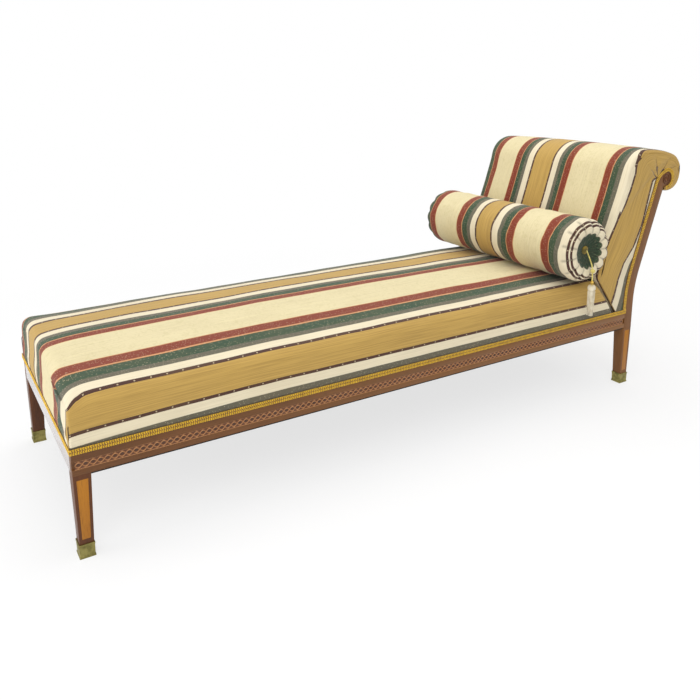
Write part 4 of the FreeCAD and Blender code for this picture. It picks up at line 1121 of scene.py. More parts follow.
@dataclass
class SideView:
    """The shared side outlines of the stile, the scroll and the back, as (x, z)."""

    rail_top: float = 258.0
    stile_front: float = 1821.0
    bend_start: float = 290.0
    bend_radius: float = 410.0
    lean: float = 18.5
    scroll: Flat = (1981.3, 710.0)
    scroll_radius: float = 24.0
    # How far the stile swells forward and up on its way into the scroll
    swell: Flat = (11.0, 8.0)
    back_lean: float = 19.2
    back_radius: float = 100.0
    roll: Flat = (1998.0, 731.0)
    roll_radius: float = 61.0
    back_top: float = 810.0
    seam_top: Flat = (1671.0, 406.0)
    seam_foot: Flat = (1783.0, 258.0)

    def stile_edge(self, grow: float, low: float) -> list[Flat]:
        """The stile's front edge and scroll, grown outwards, from low up and round to the neck.

        Args:
            grow: How far in front of the wood the line runs.
            low: Height at which it starts.

        Returns:
            The line in three stretches joined: plumb part and bend, straight part, scroll.
        """
        radius = self.bend_radius + grow
        centre = (self.stile_front + self.bend_radius, self.bend_start)
        points = line_points((self.stile_front - grow, low), (self.stile_front - grow, self.bend_start), 6)
        points += arc_points(centre, radius, 180.0, 180.0 - self.lean, 14)[1:]
        top = self.scroll[1] - self.scroll_radius
        x, z = points[-1]
        slope = math.tan(math.radians(self.lean))
        shoulder = (x + slope * (top - z), top)
        points += line_points(points[-1], shoulder, 24)[1:]
        round_radius = self.scroll_radius + grow
        crest = (self.scroll[0], self.scroll[1] + round_radius)
        half_x, half_z = 0.5 * (shoulder[0] + crest[0]), 0.5 * (shoulder[1] + crest[1])
        bx, bz = 2 * (half_x - self.swell[0]) - half_x, 2 * (half_z + self.swell[1]) - half_z
        for step in range(1, 9):
            t = step / 8.0
            a, b, c = (1 - t) ** 2, 2 * t * (1 - t), t * t
            points.append((a * shoulder[0] + b * bx + c * crest[0],
                           a * shoulder[1] + b * bz + c * crest[1]))
        points += arc_points(self.scroll, round_radius, 90.0, -92.0, 20)[1:]
        return points

    def seam_x(self, z: float) -> float:
        """Where the sloping seam between seat and back lies at a height."""
        share = (self.seam_top[1] - z) / (self.seam_top[1] - self.seam_foot[1])
        return self.seam_top[0] + (self.seam_foot[0] - self.seam_top[0]) * share

    def round_centre(self) -> Flat:
        """Centre of the arc that turns the leaning front into the top."""
        lean = math.radians(self.back_lean)
        z = self.back_top - self.back_radius
        along = z + self.back_radius * math.sin(lean) - self.seam_top[1]
        return self.seam_top[0] + math.tan(lean) * along + self.back_radius * math.cos(lean), z

    def behind_front(self, x: float, z: float) -> float:
        """How far a point lies behind the plane of the leaning front."""
        lean = math.radians(self.back_lean)
        centre_x, centre_z = self.round_centre()
        return (x - centre_x) * math.cos(lean) - (z - centre_z) * math.sin(lean) + self.back_radius

    def back_outline(self, grow: float) -> list[Flat]:
        """The back's outline from the foot of the seam, up the front and round the roll to the neck.

        Args:
            grow: How far the outline stands out from the plain one; the seam part stays put.

        Returns:
            Always the same number of points, so that outlines can be joined.
        """
        lean = math.radians(self.back_lean)
        nx, nz = -math.cos(lean), math.sin(lean)
        slope = math.tan(lean)
        centre_x, centre_z = self.round_centre()
        radius = self.back_radius + grow
        t1 = (centre_x + radius * nx, centre_z + radius * nz)
        # The leaning front meets the sloping seam.
        seam_slope = (self.seam_foot[0] - self.seam_top[0]) / (self.seam_top[1] - self.seam_foot[1])
        apart = t1[0] - slope * t1[1] - self.seam_top[0] - seam_slope * self.seam_top[1]
        z = apart / (-slope - seam_slope)
        start = (t1[0] - slope * (t1[1] - z), z)
        points = line_points((self.seam_x(COVER_LOW), COVER_LOW), start, 10)
        points += line_points(start, t1, 30)[1:]
        points += arc_points((centre_x, centre_z), radius, 180.0 - self.back_lean, 90.0, 14)[1:]
        t2 = (centre_x, centre_z + radius)
        roll_radius = self.roll_radius + grow
        r1 = arc_points(self.roll, roll_radius, 70.0, 70.0, 1)[0]
        run, drop = r1[0] - t2[0], t2[1] - r1[1]
        bend = (run * run + drop * drop) / (2.0 * drop)
        for step in range(1, 13):
            across = run * step / 12.0
            points.append((t2[0] + across, t2[1] - bend + math.sqrt(bend * bend - across * across)))
        points += arc_points(self.roll, roll_radius, 70.0, -90.0, 22)[1:]
        r3 = points[-1]
        points += line_points(r3, (r3[0] - 22.0, r3[1] + 3.0), 3)[1:]
        return points


@dataclass
class SeatCover:
    """The long crowned seat: top and foot in one length of cloth, sides sewn on at the foot corners."""

    width: float = FRAME_WIDTH
    length: float = 1858.0
    low: float = COVER_LOW
    cloth_foot: float = 272.0
    side_top: float = 350.0
    shoulder: float = 391.0
    run: float = 32.0
    bulge: float = 3.0
    end_round: float = 26.0
    corner_round: float = 5.0
    crown_foot: float = 400.0
    crown_rise: float = 15.0
    crown_fall: float = 10.7
    # How far the near stripes sink towards the gimp at the foot end
    foot_drop: float = 14.0
    # From here on the stations close up towards the sloping seam, which the cloth stops short of
    close_from: float = 1100.0
    seam_gap: float = 0.8
    tuck_reach: float = 16.0
    tuck_depth: float = 4.5
    # Place across the cloth, measured from the near gimp, and the stripe found there in the picture
    seen_at: tuple[float, ...] = (
        0.0, 16.9, 38.7, 46.5, 112.5, 122.4, 148.2, 165.0, 200.0, 209.0, 245.4, 384.3,
        408.0, 416.0, 455.0, 481.0, 493.3, 567.0, 582.7, 609.5, 668.0, 717.0, 793.4)
    stripe_at: tuple[float, ...] = (
        -97.0, -77.5, -47.5, -38.5, 38.5, 47.5, 77.5, 97.0, 122.0, 126.0, 159.5, 292.5,
        326.0, 330.0, 374.5, 404.5, 413.5, 490.5, 499.5, 529.5, 578.0, 611.5, 690.0)

    def crown(self, x: float) -> float:
        """Height of the crown's middle line."""
        inner = max(0.0, x - self.end_round)
        fall = self.crown_fall * max(0.0, 2.0 * x / self.length - 1.0)
        return self.crown_foot + self.crown_rise * (1.0 - math.exp(-inner / 260.0)) - fall

    def section(self, inset: float, drop: float, crown: float) -> list[Point]:
        """One cross-section from the near side over the top to the far side.

        Args:
            inset: How far the sides are drawn in.
            drop: How far the top edge is lowered.
            crown: Height of the middle.

        Returns:
            Points (y, z, distance across the cloth from the gimp's top edge).
        """
        side = self.side_top - drop
        shoulder = self.shoulder - 0.9 * drop
        half: list[Flat] = [(inset, self.low), (inset, self.cloth_foot)]
        for step in range(1, 9):
            share = step / 8.0
            half.append((inset - self.bulge * math.sin(math.pi * share),
                         self.cloth_foot + (side - self.cloth_foot) * share))
        for step in range(1, 9):
            angle = math.radians(90.0 * step / 8.0)
            half.append((inset + self.run * (1.0 - math.cos(angle)),
                         side + (shoulder - side) * math.sin(angle)))
        middle = self.width / 2.0
        reach = middle - inset - self.run
        rise = crown - shoulder
        bend = (reach * reach + rise * rise) / (2.0 * rise)
        for step in range(1, 23):
            y = inset + self.run + reach * step / 22.0
            half.append((y, crown - bend + math.sqrt(max(0.0, bend * bend - (middle - y) ** 2))))
        outline = half + [(self.width - y, z) for y, z in reversed(half[:-1])]
        lengths = run_lengths(outline, self.low - self.cloth_foot)
        return [(y, z, length) for (y, z), length in zip(outline, lengths)]

    def stripe(self, across: float, total: float) -> float:
        """The place in the stripe repeat for a distance across a section of a given total length."""
        full = self.seen_at[-1]
        return blend_between(across * full / total if total else 0.0, self.seen_at, self.stripe_at)

    def build(self, finishes: Finishes, view: SideView) -> None:
        """Makes the cover with its corner seams."""
        stations: list[tuple[float, float, float, float]] = []
        for step in range(9):
            angle = math.radians(90.0 * step / 8.0)
            x = self.end_round * (1.0 - math.cos(angle))
            short = max(0.0, self.corner_round - x)
            inset = self.corner_round - math.sqrt(self.corner_round ** 2 - short ** 2)
            drop = self.end_round * (1.0 - math.sin(angle))
            stations.append((x, inset, drop, self.crown_foot - drop))
        steps = 92
        for step in range(1, steps + 1):
            x = self.end_round + (view.seam_foot[0] - self.end_round) * step / steps
            stations.append((x, 0.0, 0.0, self.crown(x)))
        rows, cloth = [], []
        far_end = view.seam_foot[0]
        for x, inset, drop, crown in stations:
            outline = self.section(inset, drop, crown)
            total = outline[-1][2]
            row, flat = [], []
            for y, z, across in outline:
                end = view.seam_x(z) - self.seam_gap
                part = max(0.0, (x - self.close_from) / (far_end - self.close_from))
                px = x if x <= self.close_from else self.close_from + (end - self.close_from) * part
                crown_here = self.crown(px) if px > self.end_round else crown
                pz = z + (crown_here - crown) * clamp((z - self.side_top) / 50.0)
                tuck = max(0.0, 1.0 - (end - px) / self.tuck_reach) ** 2 * self.tuck_depth
                inward = clamp(min(y, self.width - y) / 40.0)
                pz -= tuck * inward
                py = y + (tuck if y < self.width / 2 else -tuck) * (1.0 - inward)
                pz += self.unevenness(px, y) * clamp((pz - 360.0) / 30.0)
                row.append(place(px, py, pz))
                flat.append((px, self.corner_stripe(px, across, total)))
            rows.append(row)
            cloth.append(flat)
        work = Patchwork()
        work.patch(rows, cloth)
        middle = len(rows[-1]) // 2
        work.bridge(rows[-1][:middle + 1], rows[-1][:middle - 1:-1])
        work.bridge([row[0] for row in rows], [row[-1] for row in rows])
        self.add_foot(work)
        cover = work.build("seat_cover_cloth", finishes.stripes)
        gimp_line = 0.274

        def held(point: Vector) -> float:
            """The cover is nailed below the gimp and sewn along the seam."""
            back = (view.seam_x(point.z / MM) * MM + CORNER.x - point.x) / 0.04
            low = (point.z - gimp_line) / 0.03
            return 1.0 - clamp(min(back, low))

        settle(cover, held, 3.5)
        smooth_once(cover)
        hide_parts("seat_cover", "seat_stuffing")
        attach(cover, "frame")
        self.add_seams(finishes)
        log.info("seat cover: %d faces", len(cover.data.polygons))

    def unevenness(self, x: float, y: float) -> float:
        """Slow hollows and swells of old stuffing, in millimetres."""
        low = noise.noise(Vector((x / 260.0, y / 190.0, 3.1)))
        fine = noise.noise(Vector((x / 90.0, y / 80.0, 9.4)))
        return 3.0 * low + 0.9 * fine

    def corner_stripe(self, x: float, across: float, total: float) -> float:
        """Stripe place on the top and sides; near the foot the outer stripes bend to the corner seams."""
        slack = self.foot_drop * max(0.0, 1.0 - x / 500.0) ** 1.5 * max(0.0, 1.0 - 2.0 * across / total)
        value = self.stripe(across + slack, total)
        pull = max(0.0, 1.0 - x / 60.0) ** 2
        if self.side_top - 30.0 < self.cloth_foot + across < total:
            near = blend_between(across, (70.0, 92.0, 200.0), (0.0, 30.0, 0.0))
            far = blend_between(total - across - 10.0, (70.0, 92.0, 200.0), (0.0, 30.0, 0.0))
            value += pull * (max(0.0, min(near, 30.0)) - max(0.0, min(far, 30.0)))
        return value

    def add_foot(self, work: Patchwork) -> None:
        """Carries the cloth of the top down over the foot end."""
        outline = self.section(self.corner_round, self.end_round, self.crown_foot - self.end_round)
        total = outline[-1][2]
        first, last = 9, len(outline) - 10
        levels = 10
        rows, cloth = [], []
        for level in range(levels + 1):
            share = level / levels
            row, flat = [], []
            for index in range(first, last + 1):
                y, z, across = outline[index]
                height = z + (self.low - z) * share
                swell = 2.0 * math.sin(math.pi * share) if 0.0 < share < 1.0 else 0.0
                edge = min(1.0, (index - first) / 3.0, (last - index) / 3.0)
                row.append(place(-swell * edge, y, height))
                flat.append((-(z - height), self.corner_stripe(0.0, across, total)))
            rows.append(row)
            cloth.append(flat)
        work.patch(rows, cloth)

    def add_seams(self, finishes: Finishes) -> None:
        """A sewn seam stands up each foot corner."""
        for side, y, inward in (("near", 4.2, 3.0), ("far", self.width - 4.2, -3.0)):
            points = []
            for step in range(19):
                share = step / 18.0
                z = self.cloth_foot + (self.side_top - self.end_round - self.cloth_foot + 6.0) * share
                top = max(0.0, (share - 0.8) / 0.2)
                points.append(place(0.4 + 5.0 * top ** 2, y + inward * top ** 2 * 1.6, z))
            seam = sew_line("seat_seam_" + side, points, 0.9, finishes.seam)
            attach(seam, "frame")


def sew_line(name: str, points: Sequence[Vector], radius: float, material: Material,
             sides: int = 6) -> Object:
    """A thin round thread through the points.

    Args:
        name: The piece's name.
        points: Its middle line in metres.
        radius: Its radius in millimetres.
        material: Its finish.
        sides: Faces around.

    Returns:
        The new piece.
    """
    rows = []
    for index, point in enumerate(points):
        ahead = (points[min(index + 1, len(points) - 1)] - points[max(index - 1, 0)]).normalized()
        first = ahead.orthogonal() if index == 0 else first - ahead * first.dot(ahead)
        first = first.normalized()
        second = ahead.cross(first)
        rows.append([point + (first * math.cos(2 * math.pi * j / sides)
                              + second * math.sin(2 * math.pi * j / sides)) * radius * MM for j in range(sides)])
    work = Patchwork()
    work.patch(rows, [[(0.0, 0.0)] * (sides + 1) for _ in rows], loop=True)
    piece = work.build(name, material)
    close_holes(piece)
    return piece


@dataclass
class BackCover:
    """The leaning back: front, rounded top and roll, with padded sides that meet the stiles."""

    width: float = FRAME_WIDTH
    edge_round: float = 13.0
    crown: float = 3.0
    fullness: float = 5.0
    side_swell: float = 2.2
    pleats: int = 5
    rings: int = 18
    # Points of the outline where the front leaves the seam, begins to bend and reaches the top
    seam_point: int = 10
    bend_point: int = 40
    crest_point: int = 54

    def stripe(self, w: float, z: float) -> float:
        """The place in the stripe repeat.

        Args:
            w: Distance across the cloth from the near edge; it goes on past the edges down the sides.
            z: Height above the floor.

        Returns:
            The place in the repeat, in millimetres of cloth.
        """
        # Where the dark line of the front's near edge and the one beside the stile lie at this height
        line = blend_between(max(430.0, min(z, BACK_CREST)),
                             (430.0, 493.0, 587.0, 689.0, 752.0, 790.0, BACK_CREST),
                             (8.0, 4.0, -9.0, -19.0, -19.0, -4.0, 10.0))
        inner = blend_between(max(258.0, min(z, 760.0)),
                              (258.0, 327.0, 386.0, 438.0, 491.0, 565.0, 645.0, 760.0),
                              (-99.0, -99.0, -90.0, -94.0, -122.0, -131.0, -124.0, -118.0))
        knots = (inner - 60.0, inner - 34.0, inner - 4.0, inner + 4.0, line - 4.0, line + 4.0, 27.0, 40.0,
                 64.0, 68.0, 93.0, 239.0, 264.0, 267.0, 299.0, 322.0, 328.0, 415.0, 422.0, 449.0, 484.0, 513.0,
                 606.0, 633.0)
        stripes = (-100.0, -77.5, -47.5, -38.5, 38.5, 47.5, 77.5, 97.0, 122.0, 126.0, 159.5, 292.5,
                   322.0, 330.0, 374.5, 404.5, 413.5, 490.5, 499.5, 529.5, 578.0, 611.5, 744.5, 778.0)
        return blend_between(w, knots, stripes)

    def build(self, finishes: Finishes, view: SideView) -> None:
        """Makes the cover."""
        stations: list[Point] = []
        r = self.edge_round
        for step in range(8):
            angle = math.radians(90.0 * step / 7.0)
            stations.append((r * (1.0 - math.cos(angle)), -r * (1.0 - math.sin(angle)),
                             r - r * (math.pi / 2 - angle)))
        middle = self.width / 2.0
        for step in range(1, 17):
            share = step / 16.0
            y = r + (middle - r) * share
            stations.append((y, self.crown * (1.0 - (1.0 - share) ** 2), y))
        stations += [(self.width - y, grow, self.width - w) for y, grow, w in reversed(stations[:-1])]
        lengths = run_lengths(view.back_outline(0.0))
        rows, cloth = [], []
        for y, grow, w in stations:
            row, flat = [], []
            for index, (x, z) in enumerate(self.filled(view, grow)):
                puff = 1.6 * noise.noise(Vector((y / 170.0, z / 140.0, 5.2))) * min(1.0, index / 14.0)
                row.append(place(x - puff, y, z))
                flat.append((lengths[index], self.stripe(w, z if index < self.crest_point else BACK_CREST)))
            rows.append(row)
            cloth.append(flat)
        work = Patchwork()
        work.patch(rows, cloth)
        work.bridge(*(self.add_side(work, view, lengths, near) for near in (True, False)))
        cover = work.build("back_cover_cloth", finishes.stripes)
        stile = view.stile_edge(16.0, COVER_LOW)

        def held(point: Vector) -> float:
            """Nailed along the stiles and the seam, free over the front, top and roll."""
            x, z = (point.x - CORNER.x) / MM, point.z / MM
            y = (point.y - CORNER.y) / MM
            edge = min(y, self.width - y)
            gap = min(math.hypot(x - a, z - b) for a, b in stile[::3]) if edge < 6.0 else 60.0
            seam = abs(x - view.seam_x(z)) if z < 420.0 else 60.0
            low = 60.0 if z > 300.0 else 0.0
            rear = 0.0 if x > 1850.0 and z < 664.0 and edge > 6.0 else 60.0
            return 1.0 - clamp(min(gap - 6.0, seam, low, rear) / 30.0)

        settle(cover, held, 4.0)
        smooth_once(cover)
        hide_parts("back_cover", "back_stuffing")
        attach(cover, "frame")
        self.dress_outside(finishes)
        log.info("back cover: %d faces", len(cover.data.polygons))

    def dress_outside(self, finishes: Finishes) -> None:
        """The flat cloth that closes the back behind, with its stripes upright."""
        piece = cad_copy("outside_back", "outside_back_cloth", finishes.stripes, 0.5)
        mesh = piece.data
        layer = mesh.uv_layers.new(name="cloth")
        for loop in mesh.loops:
            spot = (mesh.vertices[loop.vertex_index].co - CORNER) / MM
            layer.data[loop.index].uv = (spot.z * MM, self.stripe(max(24.0, spot.y), BACK_CREST) * MM)
        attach(piece, "frame")

    def filled(self, view: SideView, grow: float) -> list[Flat]:
        """The outline with more stuffing over the top and round the roll than lower down."""
        plain, full = view.back_outline(grow), view.back_outline(grow + self.fullness)
        shares = [clamp((index - 30) / 24.0) for index in range(len(plain))]
        return [(a[0] + (b[0] - a[0]) * t, a[1] + (b[1] - a[1]) * t)
                for a, b, t in zip(plain, full, shares)]

    def add_side(self, work: Patchwork, view: SideView, lengths: Sequence[float],
                 near: bool) -> list[Vector]:
        """The padded side between the front edge and the stile, with fan pleats round the scroll.

        Args:
            work: Takes the faces.
            view: Gives the outlines.
            lengths: Distance along the outline at each of its points.
            near: True for the near side.

        Returns:
            The line where the side meets the stile.
        """
        outer = self.filled(view, -self.edge_round)
        inner = self.matched(view.stile_edge(5.0, COVER_LOW), len(outer))
        rows, cloth = [], []
        wall = self.edge_round - self.edge_round * math.pi / 2.0
        for ring in range(self.rings + 1):
            share = (ring / self.rings) ** 1.3
            row, flat = [], []
            for index, (x, z) in enumerate(outer):
                ix, iz = inner[index]
                distance = math.hypot(ix - x, iz - z) * share
                px, pz = x + (ix - x) * share, z + (iz - z) * share
                part = (index - 48) / (len(outer) - 52)
                fold = 0.0
                if 0.0 < part < 1.0:
                    wave = abs(math.sin(math.pi * self.pleats * part))
                    fold = (1.0 - wave) ** 1.6 * 6.0 * share ** 0.6 * clamp(4.2 - part * 5.0)
                swell = (self.side_swell if index >= self.seam_point else 0.6) * math.sin(math.pi * share)
                y = -swell + fold
                turned = clamp((index - self.bend_point) / (self.crest_point - self.bend_point))
                ahead = view.behind_front(x, z) - self.edge_round if index >= self.seam_point else 0.0
                behind = view.behind_front(px, pz) - ahead
                depth = behind * (1.0 - turned) + (self.edge_round + distance) * turned
                w = wall + self.edge_round - depth
                if not near:
                    y = self.width - y
                    w = self.width - w
                stripe = self.stripe(w, pz + (BACK_CREST - pz) * turned)
                # Painted shade: the creases and gathers of the near side's pleats take the dark line's colour.
                if near and 0.0 < part < 0.75:
                    crease = max(0.0, (1.0 - wave - 0.7) / 0.3) * min(1.0, share * 5.0)
                    gathered = clamp((share - 0.42) / 0.1) * min(1.0, (1.0 - wave) * 2.4)
                    stripe += (-43.0 - stripe) * max(crease, gathered if part < 0.62 else 0.0)
                row.append(place(px, y, pz))
                flat.append((lengths[index], stripe))
            rows.append(row)
            cloth.append(flat)
        work.patch(rows, cloth)
        return rows[-1]

    def matched(self, edge: Sequence[Flat], count: int) -> list[Flat]:
        """Points of the stile's edge, one for each point of the outline."""
        climb = run_lengths(edge)

        def at_height(z: float) -> float:
            """Distance along the edge at which it first reaches a height."""
            for i, (a, b) in enumerate(zip(edge, edge[1:])):
                if a[1] <= z <= b[1]:
                    return climb[i] + (climb[i + 1] - climb[i]) * (z - a[1]) / max(1e-6, b[1] - a[1])
            return climb[-1]

        marks = ((0, 0.0), (10, at_height(357.0)), (40, at_height(694.0)), (54, at_height(716.0)),
                 (66, climb[45]), (88, climb[-1]), (count - 1, climb[-1]))
        places = [float(m[0]) for m in marks]
        values = [m[1] for m in marks]
        result = []
        for index in range(count):
            along = min(climb[-1], blend_between(float(index), places, values))
            step = next(i for i in range(len(edge) - 1) if climb[i + 1] >= along - 1e-9)
            share = (along - climb[step]) / (climb[step + 1] - climb[step])
            result.append((edge[step][0] + (edge[step + 1][0] - edge[step][0]) * share,
                           edge[step][1] + (edge[step + 1][1] - edge[step][1]) * share))
        return result


@dataclass
class Bolster:
    """Loose round bolster with gathered ends and a button deep in each."""

    radius: float = 103.0
    length: float = 732.0
    crest: float = 72.0
    mouth: float = 55.0
    edge: float = 34.0
    funnel: float = 26.0
    button: float = 14.0
    scallops: int = 13
    around: int = 156
    body_steps: int = 26
    # Where the even stripes of the body give way to the gathered end
    end_from: float = 14.0

    def profile(self) -> list[Point]:
        """Near half: (distance from the middle, radius, distance gone past the rim)."""
        half = self.length / 2.0
        points: list[tuple[float, float]] = []
        for step in range(self.body_steps + 1):
            points.append(((half - self.edge) * step / self.body_steps, self.radius))
        for step in range(1, 17):
            angle = math.radians(90.0 * step / 16.0)
            points.append((half - self.edge + self.edge * math.sin(angle),
                           self.crest + (self.radius - self.crest) * math.cos(angle)))
        points += [(half - 0.6, self.crest - 6.0), (half - 2.6, self.mouth + 6.0),
                   (half - 6.0, self.mouth + 1.5), (half - 11.0, self.mouth - 3.0)]
        bottom = half - self.funnel
        for step in range(1, 6):
            share = step / 5.0
            points.append((half - 11.0 + (bottom - half + 11.0) * share ** 0.7,
                           self.mouth - 3.0 + (self.button - 1.0 - self.mouth + 3.0) * share))
        gone = [0.0] * self.body_steps + run_lengths(points[self.body_steps:])
        return [(y, r, past) for (y, r), past in zip(points, gone)]

    def stripe(self, y: float, gone: float, rim: float) -> float:
        """Stripe place at y along the bolster from the near side; gone is how far past the rim it is."""
        if y > self.end_from or rim > self.end_from:
            return (355.0 - 0.981 * y) * 1.097 - gone
        arc = self.end_from - rim + gone if gone > 0.0 else self.end_from - y
        knots = (0.0, 27.0, 28.0, 34.0, 35.0, 40.0, 41.0, 47.0, 48.0, 73.0, 76.0, 130.0)
        stripes = (375.0, 403.0, 405.0, 412.0, 403.0, 403.0, 405.0, 412.0, 403.0, 388.0, 346.0, 330.0)
        return blend_between(arc, knots, stripes)

    def creases(self, angle: float, side: float) -> Flat:
        """Depth from 0 to 1 of the large and the small folds at an angle round one end."""
        phase = self.scallops * angle / 2.0 + (0.4 if side > 0 else 0.0)
        return (1.0 - abs(math.sin(phase))) ** 1.3, (1.0 - abs(math.sin(phase * 2.0 + 0.7))) ** 1.4

    def shade_gathers(self, cover: Object, centre: Vector) -> None:
        """Marks the painted shade in the hollows and pleats of the gathered ends."""
        layer = cover.data.attributes.new("shade", "FLOAT", "POINT")
        for index, vertex in enumerate(cover.data.vertices):
            spot = (vertex.co - centre) / MM
            reach = math.hypot(spot.x, spot.z)
            end = clamp((abs(spot.y) - self.length / 2.0 + self.edge) / 8.0)
            fold, fine = self.creases(math.atan2(spot.z, spot.x), spot.y)
            inside = clamp((self.mouth - reach) / 8.0)
            pleat = max(0.0, fold - 0.45) * (1.0 - inside)
            layer.data[index].value = end * (inside * (0.30 + 0.7 * fine) + pleat)

    def build(self, finishes: Finishes) -> None:
        """Makes the cover and its two buttons."""
        low, high = box_of("bolster_cover")
        centre = (low + high) / 2.0
        middle_y = (centre.y - CORNER.y) / MM
        half = self.profile()
        near = [(-y, r, gone) for y, r, gone in reversed(half)]
        line = near + [(y, r, gone) for y, r, gone in half[1:]]
        rows, cloth = [], []
        for y, r, gone in line:
            row, flat = [], []
            side = -1.0 if y < 0 else 1.0
            pull = clamp(gone / 34.0)
            deep = clamp((gone - 74.0) / 20.0)
            for step in range(self.around + 1):
                angle = 2.0 * math.pi * step / self.around
                fold, fine = self.creases(angle, side)
                dent = fold * (9.0 * pull * (1.0 - deep) + 4.0 * deep) + fine * 4.0 * deep
                east, up = math.cos(angle), math.sin(angle)
                wrinkle = 2.4 * noise.noise(Vector((y / 42.0, 3.0 * east, 3.0 * up + 7.0)))
                tuck = 1.6 * noise.noise(Vector((y / 15.0, 2.0 * east, 2.0 * up + 2.0)))
                body = 1.0 - pull
                reach = (r - dent * (0.8 if gone > 0 else 0.0) + (wrinkle + tuck) * body - 0.8 * body) * MM
                back = side * fold * 5.0 * pull * (1.0 - deep)
                reach = min(reach, (self.radius + 1.5) * MM)
                if step < self.around:
                    row.append(centre + Vector((reach * east, (y - back) * MM, reach * up)))
                rim_y = middle_y + side * (self.length / 2.0 - self.edge)
                stripe = self.stripe(middle_y + y, gone, rim_y) + 1.4 * wrinkle * body
                flat.append((angle * self.radius, stripe))
            rows.append(row)
            cloth.append(flat)
        work = Patchwork()
        work.patch(rows, cloth, loop=True)
        cover = work.build("bolster_cover_cloth", finishes.stripes)
        rim = (self.length / 2.0 - self.edge) * MM

        def held(point: Vector) -> float:
            """Only the gathered ends and the line that rests on the seat are held."""
            end = (abs(point.y - centre.y) - rim + 0.012) / 0.02
            rest = (centre.z - self.radius * MM * 0.93 - point.z) / 0.004
            return clamp(max(end, rest))

        settle(cover, held, 3.0)
        for vertex in cover.data.vertices:
            vertex.co.z = max(vertex.co.z, low.z + 0.0002)
        smooth_once(cover)
        self.shade_gathers(cover, centre)
        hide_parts("bolster_cover", "bolster_core")
        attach(cover, "bolster")
        for side in ("near", "far"):
            node = "bolster_button_" + side
            button = cad_copy(node, "bolster_button_cloth_" + side, finishes.button, 0.5)
            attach(button, "bolster")
        log.info("bolster: %d faces", len(cover.data.polygons))


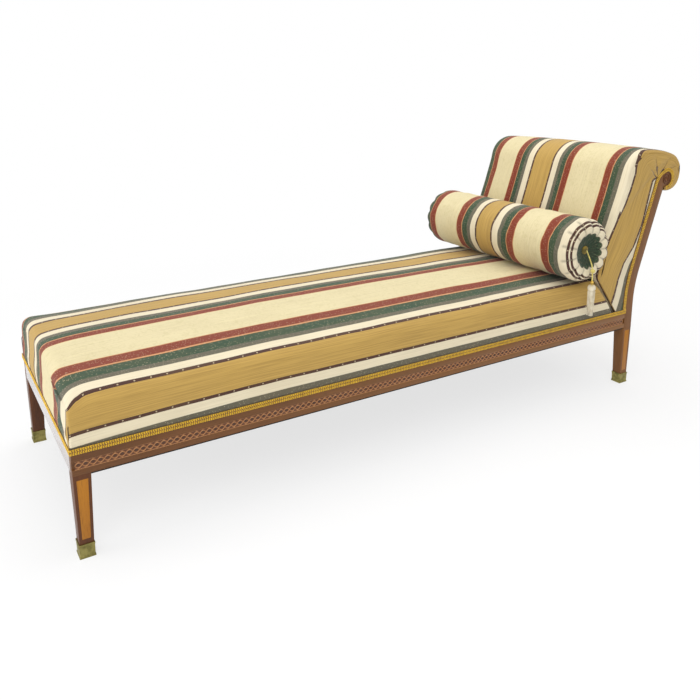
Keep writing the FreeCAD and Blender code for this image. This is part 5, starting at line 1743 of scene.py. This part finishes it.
@dataclass
class Woodwork:
    """Rails, legs, stiles, inlay panels, carved bands and brass sockets."""

    band_pitch: float = 16.0
    band_low: float = 221.0
    band_high: float = 240.0

    def build(self, finishes: Finishes, view: SideView) -> None:
        """Dresses every wooden and brass piece."""
        for side in ("near", "far"):
            self.dress("side_rail_" + side, finishes.rail_wood)
            self.dress("foot_leg_" + side, finishes.leg_wood)
            for end in ("foot_", "head_"):
                self.dress("inlay_" + end + side, finishes.inlay, 0.2)
            self.make_stile(side, finishes, view)
            self.make_band(side, finishes)
            for end in ("foot_", "head_"):
                self.dress("sabot_" + end + side, finishes.brass, 0.7)
        # The foot rail's finish has painted reflection in its base colour.
        self.dress("foot_rail", finishes.foot_wood_painted_reflection)
        log.info("woodwork dressed")

    def dress(self, node: str, material: Material, bevel: float = 1.0) -> None:
        """Replaces a node with a copy that has softened edges."""
        piece = cad_copy(node, node + "_finished", material, bevel)
        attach(piece, "frame")

    def make_stile(self, side: str, finishes: Finishes, view: SideView) -> None:
        """The stile with a carved volute on its scroll."""
        node = "head_stile_" + side
        body = cad_copy(node, node + "_body", finishes.stile_wood, 1.0, 34.0)
        face = -0.4 if side == "near" else FRAME_WIDTH + 0.4
        points = []
        for step in range(73):
            angle = math.radians(100.0 - 12.0 * step)
            radius = 21.0 * (1.0 - step / 72.0) ** 0.9 + 1.5
            points.append(place(view.scroll[0] + radius * math.cos(angle), face,
                                view.scroll[1] + radius * math.sin(angle)))
        volute = sew_line(node + "_volute", points, 2.2, finishes.leg_wood, 8)
        piece = join_pieces([body, volute], node + "_finished")
        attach(piece, "frame")

    def unit(self) -> Mesh:
        """One length of the carved chain: two crossing ribbons round a dark eye, with a pearl in it."""
        columns, rows = 12, 10
        half = (self.band_high - self.band_low) / 2.0
        points, hollow = [], []
        for i in range(columns + 1):
            u = i / columns
            for j in range(rows + 1):
                v = -1.0 + 2.0 * j / rows
                ribbon = 0.62 * math.sin(math.pi * u)
                gap = min(abs(v - ribbon), abs(v + ribbon))
                raised = max(0.0, 1.0 - gap / 0.26) ** 0.6
                border = max(0.0, (abs(v) - 0.84) / 0.16)
                eye = max(0.0, 1.0 - math.hypot((u - 0.5) / 0.30, v / 0.44))
                pearl = max(0.0, 1.0 - math.hypot((u - 0.5) / 0.10, v / 0.17)) ** 0.5
                depth = 1.5 * (1.0 - max(raised, border)) + 1.3 * eye - 1.6 * pearl
                points.append(((u - 0.5) * self.band_pitch * MM, depth * MM, v * half * MM))
                hollow.append(clamp(depth / 2.2))
        faces = []
        for i in range(columns):
            for j in range(rows):
                a = i * (rows + 1) + j
                faces.append((a, a + rows + 1, a + rows + 2, a + 1))
        mesh = bpy.data.meshes.new("carved_unit")
        mesh.from_pydata(points, [], faces)
        layer = mesh.attributes.new("hollow", "FLOAT", "POINT")
        for index, value in enumerate(hollow):
            layer.data[index].value = value
        return mesh

    def make_band(self, side: str, finishes: Finishes) -> None:
        """Repeats the carved unit along the strip by a node tree."""
        node = "carved_band_" + side
        low, high = box_of(node)
        unit = mesh_object("carved_unit", self.unit())
        count = int((high.x - low.x) / (self.band_pitch * MM))
        s, wanted = geometry_group(node, {"Unit": ("Object", None), "Count": ("Int", count),
                                          "Pitch": ("Float", self.band_pitch * MM)})
        row = s.put("GeometryNodeMeshLine", {"Count": wanted["Count"], "Offset": s.xyz(wanted["Pitch"])},
                    mode="OFFSET")
        info = s.put("GeometryNodeObjectInfo", {"Object": wanted["Unit"]})
        s.end_with_instances({"Points": row.outputs[0], "Instance": info.outputs["Geometry"]}, finishes.carved,
                             0.00002)
        mesh = run_nodes(node + "_carving", bpy.data.meshes.new("band_base"), s.tree,
                         {"Unit": unit, "Count": count})
        bpy.data.objects.remove(unit)
        run = (count - 1) * self.band_pitch * MM
        start, height = (low.x + high.x) / 2.0 - run / 2.0, (low.z + high.z) / 2.0
        if side == "near":
            mesh.transform(Matrix.Translation((start, low.y + 0.0001, height)))
        else:
            mesh.transform(Matrix.Translation((start + run, high.y - 0.0001, height))
                           @ Matrix.Rotation(math.pi, 4, "Z"))
        mesh.shade_smooth()
        carving = mesh_object(node + "_carving", mesh)
        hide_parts(node)
        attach(carving, "frame")


class Trimmings:
    """Gimp braid along the rails, round the foot and up the stiles."""

    def build(self, finishes: Finishes, view: SideView) -> None:
        """Lays all five lengths of braid."""
        maker = BraidMaker(finishes)
        middle = (view.rail_top + 7.0) * MM
        for side, y in (("near", -2.4), ("far", 667.4)):
            placing = Matrix.Translation((0.0, CORNER.y + y * MM, 0.0))
            path = [(CORNER.x + x * MM, middle) for x in (0.5, 600.0, 1200.0, view.stile_front)]
            maker.lay("gimp_side_" + side, "gimp_braid_side_" + side, path, placing)
            curve = [(CORNER.x + x * MM, z * MM) for x, z in view.stile_edge(6.4, view.rail_top + 14.0)]
            maker.lay("stile_gimp_" + side, "gimp_braid_stile_" + side, curve, placing, 5.0)
        path = [(CORNER.y + y * MM, middle) for y in (-1.5, 200.0, 450.0, 666.5)]
        sideways = Matrix(((0.0, 1.0, 0.0, CORNER.x - 2.4 * MM), (1.0, 0.0, 0.0, 0.0), (0.0, 0.0, 1.0, 0.0),
                           (0.0, 0.0, 0.0, 1.0)))
        maker.lay("gimp_foot", "gimp_braid_foot", path, sideways)
        log.info("gimp braid laid")


class InnerWork:
    """The pieces that the cover hides, which keep their own shapes."""

    def build(self, finishes: Finishes) -> None:
        """Gives each inner node its finish."""
        choice = ((finishes.beech, ("head_rail", "cross_rail", "foot_block", "head_block", "frame_dowels",
                                    "back_top_rail", "back_lower_rail")),
                  (finishes.steel, ("block_screws", "seat_springs")),
                  (finishes.jute, ("webbing", "back_webbing", "seat_hessian")),
                  (finishes.dust, ("dust_cover",)))
        for name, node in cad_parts.items():
            for material, starts in choice:
                if name.startswith(starts):
                    node.data.materials.clear()
                    node.data.materials.append(material)
        log.info("inner pieces finished")


def main() -> None:
    """Builds the whole scene in order."""
    logging.basicConfig(level=logging.INFO, format="%(name)s: %(message)s")
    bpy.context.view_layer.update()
    finishes = Finishes()
    view = SideView()
    Studio().build()
    Tassel().build(finishes)
    Bolster().build(finishes)
    SeatCover().build(finishes, view)
    BackCover().build(finishes, view)
    Woodwork().build(finishes, view)
    Trimmings().build(finishes, view)
    InnerWork().build(finishes)


if __name__ == "__main__":
    main()
